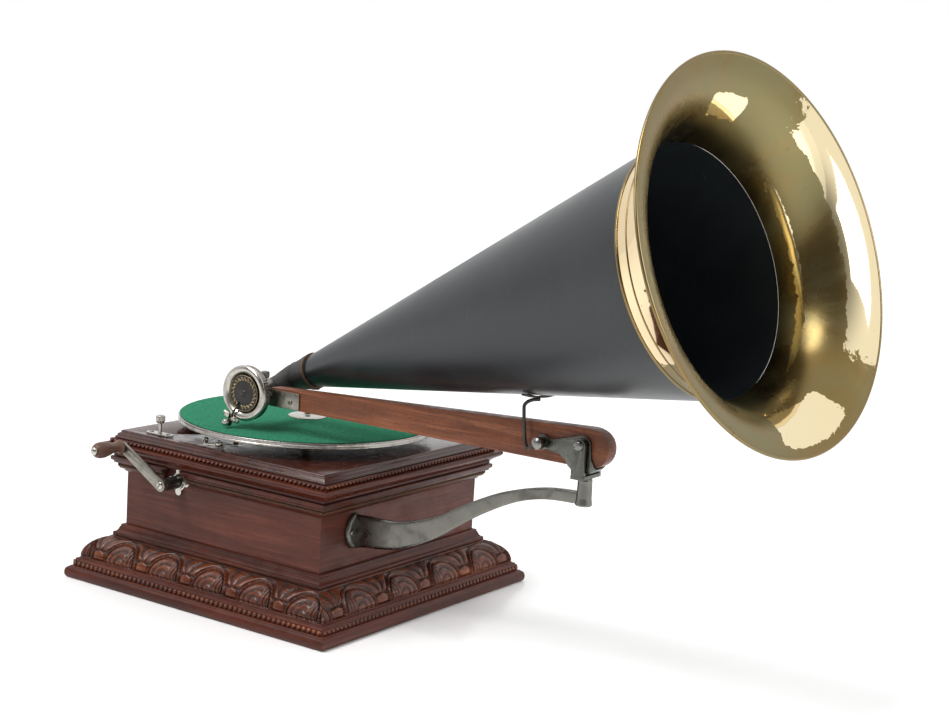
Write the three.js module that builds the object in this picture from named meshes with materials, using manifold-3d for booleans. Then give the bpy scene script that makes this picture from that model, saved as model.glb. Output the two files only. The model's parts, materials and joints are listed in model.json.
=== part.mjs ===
// Wind-up phonograph: a front-mounted horn machine on a carved mahogany cabinet.
// Millimetres. +Z is up. The origin is the centre of the cabinet's underside, on the table.
// -Y is the front, the side the horn points to. The crank is on the -X side.
import * as THREE from 'three';
import { mergeVertices } from 'three/addons/utils/BufferGeometryUtils.js';
import Module from 'manifold-3d';

const wasm = await Module();
wasm.setup();

const GAP = 0.3; // left between pieces that touch
const RAD = Math.PI / 180;

// ---------- driving dimensions ----------
const BODY_HW = 146.8; // half width of the case's square body
const PANEL_T = 12; // thickness of a case panel
const PANEL_TOP = 147.3; // top edge of the case panels
const BOARD_T = 8; // thickness of the bottom board
const TOP_Z = 178; // upper face of the top board
const TOP_T = 9.5; // thickness of the top board
const TOP_HW = 158.4; // half width of the top board at its lower edge
const SHELL_HW = BODY_HW + GAP; // inner half width of every moulding that is laid round the case

const CRANK = { y: 64, z: 131 }; // the crank's axis, which runs along X
const CRANK_REACH = 175; // distance of the crank's strap from the middle of the cabinet
const CRANK_THROW = 72; // from the crank's axis to the handle's axis
const CRANK_TILT = 61 * RAD; // how far the crank at rest leans back from straight up
const GRIP_L = 41; // length of the wooden handle
const WINDING_PINION_R = 13; // pinion cut on the inner end of the crank's shaft

const PLATTER_R = 152;
const PLATTER_Z = 192; // lower edge of the platter's rim
const PLATTER_T = 6.8;
const FELT_R = 150;
const FELT_T = 1.1;
const FELT_TOP = PLATTER_Z + PLATTER_T + GAP + FELT_T;

const ARM_X = -90; // middle plane of the arm, the yoke and the bracket
const ARM_T = 16;
const PIVOT = { y: -440, z: 253.5 }; // the arm's horizontal pivot, which runs along X
const SOCKET_TOP = 217.9;
const SOCKET_L = 29;
const NECK = { y: -3.6, z: 241.5 }; // the soundbox's axis, which runs along X
const SOUNDBOX_X = -108; // back of the soundbox's case
const STYLUS_TILT = 25 * RAD; // the stylus bar leans this far back from straight down

const HORN_APEX = new THREE.Vector3(-32, 45, 235); // where the cone's surface would close to a point
const HORN_YAW = -7.88 * RAD;
const HORN_PITCH = 18.84 * RAD;
const HORN_SLOPE = 0.193; // radius gained per millimetre along the axis
const CONE_START = 66;
const CUFF_END = 96; // the leather's edge
const CONE_END = 651;
const BELL_END = 728.3;
const BELL_R = 191.5;
const SHEET_T = 1.1; // thickness of the horn's sheet metal

// ---------- materials ----------
function finish(color, roughness, metalness) {
  return new THREE.MeshStandardMaterial({ color, roughness, metalness });
}

const mahogany = () => finish(0x5a2418, 0.42, 0);
const armWood = () => finish(0x6e3a22, 0.5, 0);
const handleWood = () => finish(0x6b4a3a, 0.55, 0);
const nickel = () => finish(0xc9c6bd, 0.28, 1);
const castIron = () => finish(0x8b8a82, 0.45, 0.9);
const steel = () => finish(0x9a9a98, 0.4, 1);
const brass = () => finish(0xc79a3e, 0.25, 1);
const enamel = () => finish(0x23272a, 0.4, 0.2);
const leather = () => finish(0x2d2a28, 0.6, 0);
const felt = () => finish(0x2c7c5c, 0.95, 0);
const blackened = () => finish(0x2b2a27, 0.5, 0.6);

// ---------- shapes ----------
// Turn a profile of [radius, height] points round +Z.
function turned(profile, segments = 32, start = 0) {
  const points = profile.map(([r, z]) => new THREE.Vector2(r, z));
  return new THREE.LatheGeometry(points, segments, start).rotateX(Math.PI / 2);
}

// A closed ring profile ends where it starts.
function ring(profile, segments, start) {
  return turned([...profile, profile[0]], segments, start);
}

// A square frame or board with mitred corners. Profile points are [half width, height].
function mitred(profile) {
  const closed = profile[0][0] > 0 ? [...profile, profile[0]] : profile;
  return turned(closed.map(([w, z]) => [w * Math.SQRT2, z]), 4, Math.PI / 4);
}

function box(x0, x1, y0, y1, z0, z1) {
  const geometry = new THREE.BoxGeometry(x1 - x0, y1 - y0, z1 - z0);
  return geometry.translate((x0 + x1) / 2, (y0 + y1) / 2, (z0 + z1) / 2);
}

function rodZ(r, z0, z1, segments = 20) {
  return turned([[0, z0], [r, z0], [r, z1], [0, z1]], segments);
}

function tubeZ(inner, outer, z0, z1, segments = 24) {
  return ring([[inner, z0], [outer, z0], [outer, z1], [inner, z1]], segments);
}

// Height above becomes distance along +X, along -X or along +Y.
const toX = (geometry) => geometry.rotateY(Math.PI / 2);
const toMinusX = (geometry) => geometry.rotateY(-Math.PI / 2);
const toY = (geometry) => geometry.rotateX(-Math.PI / 2);

// Extrude an outline drawn in the (Y, Z) plane from x0 to x1.
function slabX(shape, x0, x1, curveSegments = 8) {
  const geometry = new THREE.ExtrudeGeometry(shape, { depth: x1 - x0, bevelEnabled: false, curveSegments });
  const axes = new THREE.Matrix4().makeBasis(
    new THREE.Vector3(0, 1, 0),
    new THREE.Vector3(0, 0, 1),
    new THREE.Vector3(1, 0, 0),
  );
  return geometry.applyMatrix4(axes).translate(x0, 0, 0);
}

function slabZ(shape, z0, z1, curveSegments = 8) {
  const geometry = new THREE.ExtrudeGeometry(shape, { depth: z1 - z0, bevelEnabled: false, curveSegments });
  return geometry.translate(0, 0, z0);
}

function disc(u, v, r) {
  const shape = new THREE.Shape();
  shape.absarc(u, v, r, 0, 2 * Math.PI);
  return shape;
}

function hole(shape, u, v, r) {
  const path = new THREE.Path();
  path.absarc(u, v, r, 0, 2 * Math.PI, true);
  shape.holes.push(path);
  return shape;
}

// Two round ends joined by straight sides.
function linkShape(u0, v0, r0, u1, v1, r1) {
  const angle = Math.atan2(v1 - v0, u1 - u0);
  const lean = Math.acos((r0 - r1) / Math.hypot(u1 - u0, v1 - v0));
  const shape = new THREE.Shape();
  shape.absarc(u1, v1, r1, angle - lean, angle + lean);
  shape.absarc(u0, v0, r0, angle + lean, angle - lean + 2 * Math.PI);
  shape.closePath();
  return shape;
}

function gearShape(teeth, tipR, depth, boreR) {
  const shape = new THREE.Shape();
  for (let i = 0; i < teeth; i += 1) {
    for (const [part, r] of [[0, tipR - depth], [0.3, tipR], [0.6, tipR], [0.9, tipR - depth]]) {
      const a = ((i + part) / teeth) * 2 * Math.PI;
      const point = [r * Math.cos(a), r * Math.sin(a)];
      if (i + part === 0) shape.moveTo(...point);
      else shape.lineTo(...point);
    }
  }
  shape.closePath();
  return boreR ? hole(shape, 0, 0, boreR) : shape;
}

// ---------- booleans ----------
function toSolid(geometry) {
  const bare = geometry.clone();
  bare.deleteAttribute('normal');
  bare.deleteAttribute('uv');
  const merged = mergeVertices(bare, 1e-4);
  const mesh = new wasm.Mesh({
    numProp: 3,
    vertProperties: new Float32Array(merged.attributes.position.array),
    triVerts: new Uint32Array(merged.index.array),
  });
  return new wasm.Manifold(mesh);
}

function toGeometry(solid) {
  const mesh = solid.getMesh();
  const geometry = new THREE.BufferGeometry();
  geometry.setAttribute('position', new THREE.BufferAttribute(new Float32Array(mesh.vertProperties), 3));
  geometry.setIndex(new THREE.BufferAttribute(new Uint32Array(mesh.triVerts), 1));
  geometry.computeVertexNormals();
  return geometry;
}

function cut(body, ...tools) {
  return toGeometry(tools.reduce((solid, tool) => solid.subtract(toSolid(tool)), toSolid(body)));
}

function join(body, ...others) {
  return toGeometry(others.reduce((solid, other) => solid.add(toSolid(other)), toSolid(body)));
}

// ---------- assembly ----------
const phonograph = new THREE.Group();

function add(name, geometry, material, x = 0, y = 0, z = 0) {
  const mesh = new THREE.Mesh(geometry, material);
  mesh.name = name;
  mesh.position.set(x, y, z);
  phonograph.add(mesh);
  return mesh;
}

// ---------- cabinet ----------
function plinthProfile() {
  return [
    [172 + GAP, 0], [194.3, 0], [195.7, 3], [196.4, 7.5], [195.2, 11.4], [192.2, 12.8], [192, 14.6],
    [189, 15], [189, 20.8], [187, 21.4], [186.8, 23.2], [183.6, 23.8], [183.4, 25],
    [SHELL_HW, 25], [SHELL_HW, BOARD_T + GAP], [172 + GAP, BOARD_T + GAP],
  ];
}

function ovoloProfile() {
  const bottom = 25 + GAP;
  const reach = 33.2;
  const rise = 26;
  const steps = 7;
  const curve = [];
  for (let i = 0; i <= steps; i += 1) {
    const a = (i / steps) * 78 * RAD;
    curve.push([150.2 + reach * Math.cos(a), bottom + rise * Math.sin(a)]);
  }
  return [[SHELL_HW, bottom], ...curve, [SHELL_HW, bottom + rise * Math.sin(78 * RAD)]];
}

function baseCapProfile() {
  return [
    [SHELL_HW, 51.1], [157.5, 51.1], [157.5, 55.8], [154.6, 57], [152.7, 59.6], [151.8, 62.2],
    [151, 62.6], [151, 64.6], [149.2, 65.5], [SHELL_HW, 65.5],
  ];
}

function lowerCorniceProfile() {
  return [
    [SHELL_HW, 128.6], [148.3, 128.6], [150, 131], [153.4, 132.6], [154.4, 134.2], [154.6, 138.2],
    [158.2, 139.2], [158.6, 141], [161.2, 142.8], [161.4, 146.3], [160.6, PANEL_TOP], [SHELL_HW, PANEL_TOP],
  ];
}

function upperCorniceProfile() {
  const bottom = PANEL_TOP + GAP;
  const top = TOP_Z - TOP_T - GAP;
  return [
    [BODY_HW - PANEL_T, bottom], [158.6, bottom], [158.8, 150.8], [161, 153.2], [165.4, 155.6],
    [169.4, 158.4], [170.2, 160.8], [169.2, 163], [165.2, 163.6], [163.4, 164.6], [163.2, top],
    [BODY_HW - PANEL_T, top],
  ];
}

function topBoardProfile() {
  return [
    [0, TOP_Z - TOP_T], [TOP_HW, TOP_Z - TOP_T], [TOP_HW, 170.8], [156.6, 171.8], [156, 174.2],
    [153.6, 175.2], [153.2, 177.3], [152.4, TOP_Z], [0, TOP_Z],
  ];
}

// A case panel stands behind the mouldings, from the bottom board up to the upper cornice.
function casePanel(across, side) {
  const inner = BODY_HW - PANEL_T;
  const end = across === 'x' ? BODY_HW : inner - GAP;
  const [near, far] = side > 0 ? [inner, BODY_HW] : [-BODY_HW, -inner];
  const span = [-end, end];
  const [x0, x1, y0, y1] = across === 'x' ? [...span, near, far] : [near, far, ...span];
  return box(x0, x1, y0, y1, BOARD_T + GAP, PANEL_TOP);
}

const BRAKE = { x: -138, y: 14 };
const SPEED = { x: -138, y: 106 };
const SHAFT_R = 5;

function cabinet() {
  add('bottom_board', box(-172, 172, -172, 172, 0, BOARD_T), mahogany());
  add('plinth_moulding', mitred(plinthProfile()), mahogany());
  add('carved_moulding', mitred(ovoloProfile()), mahogany());
  add('base_cap_moulding', mitred(baseCapProfile()), mahogany());
  add('front_panel', casePanel('x', -1), mahogany());
  add('back_panel', casePanel('x', 1), mahogany());
  add('right_panel', casePanel('y', 1), mahogany());
  const crankHole = toX(rodZ(SHAFT_R + 1, -160, -120)).translate(0, CRANK.y, CRANK.z);
  add('crank_side_panel', cut(casePanel('y', -1), crankHole), mahogany());
  const pocket = toX(rodZ(19.6, -170, -140, 32)).translate(0, CRANK.y, CRANK.z);
  add('lower_cornice', cut(mitred(lowerCorniceProfile()), pocket), mahogany());
  add('upper_cornice', mitred(upperCorniceProfile()), mahogany());
  const spindleHole = rodZ(9, TOP_Z - TOP_T - 1, TOP_Z + 1);
  const stemHole = rodZ(2.5, TOP_Z - TOP_T - 1, TOP_Z + 1, 12).translate(SPEED.x, SPEED.y, 0);
  add('top_board', cut(mitred(topBoardProfile()), spindleHole, stemHole), mahogany());
}

// ---------- crank ----------
function escutcheon() {
  const lobes = [0, 90, 180, 270].map((degrees) => {
    const a = degrees * RAD;
    const lobe = disc(11.6 * Math.cos(a), 11.6 * Math.sin(a), 4.6);
    return slabX(lobe, -1.6, 0, 6);
  });
  const plate = join(slabX(disc(0, 0, 10.5), -1.6, 0, 12), ...lobes);
  const collar = toMinusX(tubeZ(SHAFT_R + 0.6, 8.6, 0, 4.5, 24));
  const bore = toX(rodZ(SHAFT_R + 0.6, -10, 10, 24));
  return cut(join(plate, collar), bore);
}

function crank() {
  const handleY = CRANK.y + CRANK_THROW * Math.sin(CRANK_TILT);
  const handleZ = CRANK.z + CRANK_THROW * Math.cos(CRANK_TILT);
  const strapIn = -CRANK_REACH;
  const strapOut = strapIn - 4;
  add('crank_escutcheon', escutcheon(), nickel(), -BODY_HW - GAP, CRANK.y, CRANK.z);
  const shaft = join(
    toX(rodZ(SHAFT_R, strapIn + GAP, -78.6)),
    toX(tubeZ(SHAFT_R - 1, 7.5, strapIn + GAP, strapIn + 22)),
    slabX(gearShape(14, WINDING_PINION_R, 2.4, 0), -82.6, -78.6, 1),
  );
  add('crank_shaft', shaft, castIron(), 0, CRANK.y, CRANK.z);
  const strap = linkShape(CRANK.y, CRANK.z, 7.2, handleY, handleZ, 5.6);
  add('crank_arm', slabX(hole(strap, handleY, handleZ, 2.4), strapOut, strapIn, 10), nickel());
  const grip = ring([
    [2.6, 0], [7.6, 0], [8.2, 2], [7.4, 4.2], [6.3, 6.5], [6, 10], [6.6, 16], [8.2, 22], [9.4, 29],
    [9, 35], [7, 39.6], [5.4, GRIP_L], [2.6, GRIP_L],
  ], 20);
  add('crank_handle', toMinusX(grip), handleWood(), strapOut - GAP, handleY, handleZ);
  const headZ = GRIP_L + 2 * GAP;
  const pin = turned([
    [0, -2.5 - GAP], [2.1, -2.5 - GAP], [2.1, headZ], [5, headZ],
    [4.4, headZ + 1.8], [2.6, headZ + 3], [0, headZ + 3.3],
  ], 16);
  add('crank_handle_pin', toMinusX(pin), nickel(), strapOut, handleY, handleZ);
}

// ---------- motor ----------
const PLATE_TOP = TOP_Z - TOP_T - GAP; // the motor hangs from the underside of the top board
const BED_T = 4;
const ARBOR = { y: 34, z: 95 }; // winding arbor and spring barrel, along X
const SECOND = { y: 0, z: 58 }; // second arbor, along X
const GOVERNOR = { x: 27, z: 122 }; // governor shaft, along Y
const SIDE_PLATES = [-86, -30]; // lower X face of each of the motor's two side plates
const SIDE_T = 3;

function motorSidePlate(x) {
  const shape = new THREE.Shape();
  shape.moveTo(-16, 44);
  shape.lineTo(80, 44);
  shape.lineTo(80, PLATE_TOP - BED_T - GAP);
  shape.lineTo(-16, PLATE_TOP - BED_T - GAP);
  shape.closePath();
  hole(shape, ARBOR.y, ARBOR.z, 4.4);
  if (x === SIDE_PLATES[0]) hole(shape, CRANK.y, CRANK.z, SHAFT_R + 0.6);
  else hole(shape, SECOND.y, SECOND.z, 3);
  return slabX(shape, x, x + SIDE_T, 5);
}

function mainspring() {
  const turns = 5;
  const steps = turns * 9;
  const inner = [];
  const outer = [];
  for (let i = 0; i <= steps; i += 1) {
    const a = (i / steps) * turns * 2 * Math.PI;
    const r = 10 + (i / steps) * 22;
    inner.push(new THREE.Vector2(r * Math.cos(a), r * Math.sin(a)));
    outer.push(new THREE.Vector2((r + 1.2) * Math.cos(a), (r + 1.2) * Math.sin(a)));
  }
  return slabX(new THREE.Shape([...outer, ...inner.reverse()]), -76, -50, 1);
}

function governorWeight(angle) {
  const weight = turned([[0, -7], [3.4, -6], [3.4, 6], [0, 7]], 10);
  return toY(weight).translate(10.5 * Math.cos(angle), 0, 10.5 * Math.sin(angle));
}

function motor() {
  const bed = box(-120, 90, -60, 95, PLATE_TOP - BED_T, PLATE_TOP);
  add('motor_bedplate', cut(bed, rodZ(8.4, PLATE_TOP - 9, PLATE_TOP + 1)), castIron());
  const names = ['motor_side_plate_outer', 'motor_side_plate_inner'];
  SIDE_PLATES.forEach((x, i) => add(names[i], motorSidePlate(x), steel()));

  const arbor = join(
    toX(rodZ(4, -98, -24)),
    slabX(gearShape(24, 32, 3, 0), -82, -79, 4),
    slabX(gearShape(14, 13, 2, 0), -91, -88, 4),
  );
  add('winding_arbor', arbor, steel(), 0, ARBOR.y, ARBOR.z);
  const pawl = linkShape(0, 0, 4, -10.5, -12.5, 1.6);
  add('ratchet_pawl', slabX(hole(pawl, 0, 0, 1.8), -91, -88, 4), steel(), 0, ARBOR.y + 22, ARBOR.z + 22);

  const barrel = ring([
    [4.4, 0], [37, 0], [37, 30], [35, 30], [35, 2], [8, 2], [8, 8], [4.4, 8],
  ], 24);
  const greatWheel = slabX(gearShape(36, 42, 3, 36), 27, 30, 6);
  add('spring_barrel', join(toX(barrel), greatWheel), brass(), -78, ARBOR.y, ARBOR.z);
  add('mainspring', mainspring(), blackened(), 0, ARBOR.y, ARBOR.z);

  const second = join(
    toX(rodZ(2.6, -60, -9, 12)),
    slabX(gearShape(10, 6.3, 1.6, 0), -48, -43, 1),
    slabX(gearShape(18, 13, 1.6, 0), -12, -9, 1),
  );
  add('second_wheel', second.translate(0, SECOND.y, SECOND.z), steel());

  const spindleTop = FELT_TOP + 7;
  const spindle = turned([
    [0, 68], [3.5, 68], [3.5, 186], [7, 187], [7, PLATTER_Z - GAP], [3.6, PLATTER_Z - GAP],
    [3.6, spindleTop - 2], [2.4, spindleTop], [0, spindleTop],
  ], 16);
  const bevelPinion = slabZ(gearShape(10, 7.4, 1.4, 0), 71.6, 76);
  const wormWheel = slabZ(gearShape(20, 21, 2, 0), GOVERNOR.z - 3, GOVERNOR.z + 3);
  add('turntable_spindle', join(spindle, bevelPinion, wormWheel), steel());
  add('spindle_bush', tubeZ(4, 7.8, 152, TOP_Z + 3, 20), brass());

  const bridgeTop = PLATE_TOP - BED_T - GAP;
  const frameLegs = [-40, 42].map((y) => box(GOVERNOR.x - 6, GOVERNOR.x + 6, y, y + 3, 112, bridgeTop));
  const bridge = box(GOVERNOR.x - 6, GOVERNOR.x + 6, -40, 45, 156, bridgeTop);
  const shaftHole = toY(rodZ(2.4, -60, 60, 12)).translate(GOVERNOR.x, 0, GOVERNOR.z);
  add('governor_frame', cut(join(bridge, ...frameLegs), shaftHole), castIron());
  const shaft = join(toY(rodZ(2, -42, 47, 10)), toY(rodZ(4.2, -13, 13, 12)), toY(rodZ(13, 36, 38.5, 24)));
  add('governor_shaft', shaft, steel(), GOVERNOR.x, 0, GOVERNOR.z);
  [90, 210, 330].forEach((degrees, i) => {
    const weight = governorWeight(degrees * RAD).translate(0, 25, 0);
    add(`governor_weight_${i + 1}`, weight, brass(), GOVERNOR.x, 0, GOVERNOR.z);
  });
}

// ---------- turntable and its controls ----------
function turntable() {
  const top = PLATTER_Z + PLATTER_T;
  const platter = ring([
    [3.9, PLATTER_Z], [20, PLATTER_Z], [24, top - 2.4],
    [PLATTER_R - 5, top - 2.4], [PLATTER_R - 4, PLATTER_Z],
    [PLATTER_R, PLATTER_Z], [PLATTER_R, top], [3.9, top],
  ], 64);
  add('platter', platter, nickel());
  const mat = tubeZ(3.9, FELT_R, top + GAP, FELT_TOP, 64);
  add('felt_mat', mat, felt());
  const cap = ring([
    [3.9, 0], [23, 0], [23, 0.6], [19, 1.5], [7, 1.9], [6.6, 2.6], [3.9, 2.6],
  ], 28);
  add('centre_cap', cap, nickel(), 0, 0, FELT_TOP + GAP);
}

function speedControl() {
  const oval = linkShape(-13, 0, 6.6, 13, 0, 6.6);
  hole(oval, 0, 0, 2.5);
  const plate = slabZ(oval, 0, 1.5, 8).rotateZ(Math.PI / 2);
  add('speed_plate', plate, nickel(), SPEED.x, SPEED.y, TOP_Z + GAP);
  const knob = turned([
    [0, -9], [1.9, -9], [1.9, 12.4], [2.9, 13.4], [5.2, 16], [5.6, 22.4], [5, 23.4], [0, 23.4],
  ], 20);
  add('speed_knob', knob, nickel(), SPEED.x, SPEED.y, TOP_Z);
}

function brake() {
  const base = join(rodZ(6.5, 0, 1.6, 20), rodZ(2, 0, 8.4, 12));
  add('brake_base', base, nickel(), BRAKE.x, BRAKE.y, TOP_Z + GAP);
  const link = linkShape(-7, 14, 3, 12, -15, 2.4);
  const hub = rodZ(4.6, 2.2, 6, 16);
  const lever = cut(join(slabZ(link, 2.2, 4.2), hub), rodZ(2.4, 0, 9, 12));
  const knob = turned([[0, 4], [2.2, 4], [2.6, 6], [3.6, 8], [3, 10.4], [0, 11]], 14).translate(-7, 14, 0);
  add('brake_lever', join(lever, knob), nickel(), BRAKE.x, BRAKE.y, TOP_Z + GAP);
  add('brake_pad', rodZ(3.4, 4.2 + GAP, 11.4, 14), leather(), BRAKE.x + 12, BRAKE.y - 15, TOP_Z + GAP);
}

// ---------- horn support ----------
// The bracket is a flat band that stands on edge: its middle line and its height change along Y.
function bandShape() {
  const middle = [
    [-152, 105, 38], [-166, 107, 36], [-188, 108.5, 34],
    [-212, 112, 31.5], [-238, 121, 28], [-263, 132.5, 24],
    [-285, 146, 21.5], [-308, 160, 19], [-337, 175, 16.4], [-362, 185, 13.4], [-385, 191.5, 12.6],
    [-408, 195, 13], [-438, 196.5, 13.6],
  ];
  const upper = middle.map(([y, z, height]) => new THREE.Vector2(y, z + height / 2));
  const lower = middle.map(([y, z, height]) => new THREE.Vector2(y, z - height / 2)).reverse();
  const shape = new THREE.Shape();
  shape.moveTo(upper[0].x, upper[0].y);
  shape.splineThru(upper.slice(1));
  shape.lineTo(lower[0].x, lower[0].y);
  shape.splineThru(lower.slice(1));
  shape.closePath();
  return shape;
}

function bracket() {
  const faceY = -BODY_HW - GAP;
  const bandT = 7;
  const foot = toY(turned([[0, -6], [17, -6], [19.5, -3.5], [19.5, 0], [0, 0]], 32));
  foot.scale(0.8, 1, 1.03).translate(ARM_X, faceY, 105);
  const band = slabX(bandShape(), ARM_X - bandT / 2, ARM_X + bandT / 2, 2);
  const boss = turned([
    [0, SOCKET_TOP - SOCKET_L], [8.4, SOCKET_TOP - SOCKET_L], [9, SOCKET_TOP - SOCKET_L + 1.5],
    [7.6, SOCKET_TOP - 0.8], [7, SOCKET_TOP], [0, SOCKET_TOP],
  ], 24).translate(ARM_X, PIVOT.y, 0);
  const bore = rodZ(4.5, SOCKET_TOP - SOCKET_L + 4, SOCKET_TOP + 1).translate(ARM_X, PIVOT.y, 0);
  const screwHoles = [-1, 1].map((side) => {
    return toY(rodZ(2.3, -12, 4, 12)).translate(ARM_X + side * 9.6, faceY, 105);
  });
  add('horn_bracket', cut(join(foot, band, boss), bore, ...screwHoles), castIron());
  [-1, 1].forEach((side, i) => {
    const screw = turned([
      [0, -9.4], [3, -8.9], [3.9, -6.6], [3.9, -6 - GAP], [2, -6 - GAP], [2, -GAP], [0, -GAP],
    ], 14);
    add(`bracket_screw_${i + 1}`, toY(screw), steel(), ARM_X + side * 9.6, faceY, 105);
  });
}

function yoke() {
  const half = 18; // half of the fork's width across the arm
  const earT = 4;
  const baseZ = SOCKET_TOP + GAP;
  const ear = linkShape(PIVOT.y, baseZ + 7, 7.4, PIVOT.y, PIVOT.z, 7.3);
  const ears = [-half, half - earT].map((x) => slabX(ear, ARM_X + x, ARM_X + x + earT, 10));
  const base = box(ARM_X - half, ARM_X + half, PIVOT.y - 7.4, PIVOT.y + 7.4, baseZ, baseZ + 4);
  const spigot = rodZ(4.2, SOCKET_TOP - SOCKET_L + 5, baseZ + 1).translate(ARM_X, PIVOT.y, 0);
  const skirt = box(ARM_X - 40, ARM_X + 40, PIVOT.y - 20, PIVOT.y + 20, 180, baseZ);
  const trimmed = cut(join(base, ...ears), skirt);
  const pinHole = toX(rodZ(3.2, -20, 20)).translate(ARM_X, PIVOT.y, PIVOT.z);
  add('yoke', cut(join(trimmed, spigot), pinHole), castIron());
  const head = half + GAP;
  const pin = turned([
    [0, -head - 2.2], [4.4, -head - 2.2], [4.4, -head], [3, -head], [3, head], [5.6, head],
    [5, head + 2], [3, head + 2.8], [0, head + 3],
  ], 20);
  add('yoke_pin', toMinusX(pin), steel(), ARM_X, PIVOT.y, PIVOT.z);
}

const ARM_BACK = -25; // Y of the arm's end next to the soundbox
const ARM_FRONT = -469;
const BOLT = { y: -393, z: 248.5 };

function armBar() {
  const shape = new THREE.Shape();
  shape.moveTo(ARM_BACK, 228);
  shape.lineTo(ARM_BACK, 249);
  shape.lineTo(-446, 270.7);
  shape.bezierCurveTo(-461, 270, ARM_FRONT, 262, ARM_FRONT, 251);
  shape.bezierCurveTo(ARM_FRONT, 240, -461, 230.5, -448, 230);
  shape.closePath();
  hole(shape, PIVOT.y, PIVOT.z, 3.6);
  hole(shape, BOLT.y, BOLT.z, 3.3);
  return slabX(shape, ARM_X - ARM_T / 2, ARM_X + ARM_T / 2, 8);
}

// Two bone-shaped cheeks joined by a sole that wraps under the arm.
function saddleCasting() {
  const outline = new THREE.Shape();
  outline.moveTo(PIVOT.y - 12, 226.5);
  outline.lineTo(PIVOT.y - 16, 231);
  outline.lineTo(PIVOT.y - 11, 240);
  outline.lineTo(PIVOT.y - 9.5, PIVOT.z);
  outline.absarc(PIVOT.y, PIVOT.z, 9.5, Math.PI, 0.35 * Math.PI, true);
  outline.lineTo(BOLT.y - 12, BOLT.z + 4.6);
  outline.absarc(BOLT.y, BOLT.z, 8, 0.8 * Math.PI, -0.7 * Math.PI, true);
  outline.lineTo(-414, 239.5);
  outline.lineTo(-421, 234.5);
  outline.lineTo(PIVOT.y + 16, 229.5);
  outline.lineTo(PIVOT.y + 10, 225);
  outline.lineTo(PIVOT.y - 10, 225);
  outline.closePath();
  const slab = slabX(outline, ARM_X - ARM_T / 2 - 2.8, ARM_X + ARM_T / 2 + 2.8, 6);
  const arm = box(ARM_X - ARM_T / 2 - GAP, ARM_X + ARM_T / 2 + GAP, -500, -300, 229.2, 300);
  const holes = [[PIVOT, 3.6], [BOLT, 3.3]].map(([at, r]) => {
    return toX(rodZ(r, -20, 20)).translate(ARM_X, at.y, at.z);
  });
  return cut(slab, arm, ...holes);
}

function hornRest() {
  const wire = new THREE.CatmullRomCurve3([
    new THREE.Vector3(-107, -388, 246.2), new THREE.Vector3(-107.5, -383, 242.6),
    new THREE.Vector3(-107.5, -378.5, 241.5), new THREE.Vector3(-107, -375.5, 247),
    new THREE.Vector3(-107, -373.5, 262), new THREE.Vector3(-106.5, -371.5, 278),
    new THREE.Vector3(-105.5, -371.5, 285), new THREE.Vector3(-101, -376, 289.5),
    new THREE.Vector3(-94, -382, 290.4),
  ]);
  const rod = new THREE.ExtrudeGeometry(disc(0, 0, 1.9), { steps: 22, extrudePath: wire, curveSegments: 2 });
  const eye = toX(tubeZ(3.4, 6.4, -1.9, 1.9)).translate(-107, BOLT.y, BOLT.z);
  return join(rod, eye, saddleStrip());
}

// The strip that cradles the horn: a short arc round the horn's axis, a little outside the cone.
function saddleStrip() {
  const along = 429; // distance of the strip from the cone's apex
  const halfWidth = 5;
  const clearance = 0.8; // between the cone's outside and the strip
  const radius = along * HORN_SLOPE + 1;
  const arc = new THREE.Shape();
  const half = 19 * RAD; // half of the angle that the strip spans
  arc.absarc(0, 0, radius, 1.5 * Math.PI - half, 1.5 * Math.PI + half);
  arc.absarc(0, 0, radius + 2, 1.5 * Math.PI + half, 1.5 * Math.PI - half, true);
  arc.closePath();
  const strip = slabZ(arc, -halfWidth, halfWidth, 14);
  const low = along - 12;
  const high = along + 12;
  const cone = hornTurned([
    [0, low], [coneRadius(low) + clearance, low], [coneRadius(high) + clearance, high], [0, high],
  ], 56);
  const place = hornPlace.clone().multiply(new THREE.Matrix4().makeTranslation(0, 0, along));
  return cut(strip.applyMatrix4(place), cone);
}

function ferrule() {
  const half = ARM_T / 2;
  const collar = toX(tubeZ(9.4, 15, -half, half, 28)).translate(ARM_X, NECK.y, NECK.z);
  const tongue = box(ARM_X - half - 1.8, ARM_X - half - GAP, -68, -14, 228.8, 247.8);
  const web = box(ARM_X - half - 1.8, ARM_X + half, ARM_BACK + GAP, -14, 230, 246);
  const screwHole = rodZ(2.3, NECK.z + 8, NECK.z + 20, 12).translate(ARM_X, NECK.y - 5, 0);
  const bore = toX(rodZ(9.4, -20, 20, 28)).translate(ARM_X, NECK.y, NECK.z);
  return cut(join(web, tongue, collar), bore, screwHole);
}

function arm() {
  add('arm_bar', armBar(), armWood());
  add('saddle_casting', saddleCasting(), castIron());
  const bolt = turned([
    [0, -14], [3, -14], [3, 12.6 + 7], [6.6, 12.6 + 7], [6.6, 12.6 + 11], [3.4, 12.6 + 12.6], [0, 12.6 + 13],
  ], 12);
  add('horn_rest_bolt', toMinusX(bolt), steel(), ARM_X, BOLT.y, BOLT.z);
  add('horn_rest', hornRest(), blackened());
  add('arm_ferrule', ferrule(), nickel());
  const clampScrew = turned([
    [0, 9.8], [2, 9.8], [2, 15.8], [4.6, 15.8], [5, 17], [5, 22], [4.4, 23.2], [0, 23.6],
  ], 16);
  add('clamp_screw', clampScrew, steel(), ARM_X, NECK.y - 5, NECK.z);
}

// ---------- soundbox ----------
const BAR_Z = 16; // height of the stylus bar's middle over the back of the soundbox
const CHUCK_R = 38.6; // the needle chuck's screw, counted from the soundbox's axis
const NEEDLE_TIP = 44.8; // the needle's point, counted the same way

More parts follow.
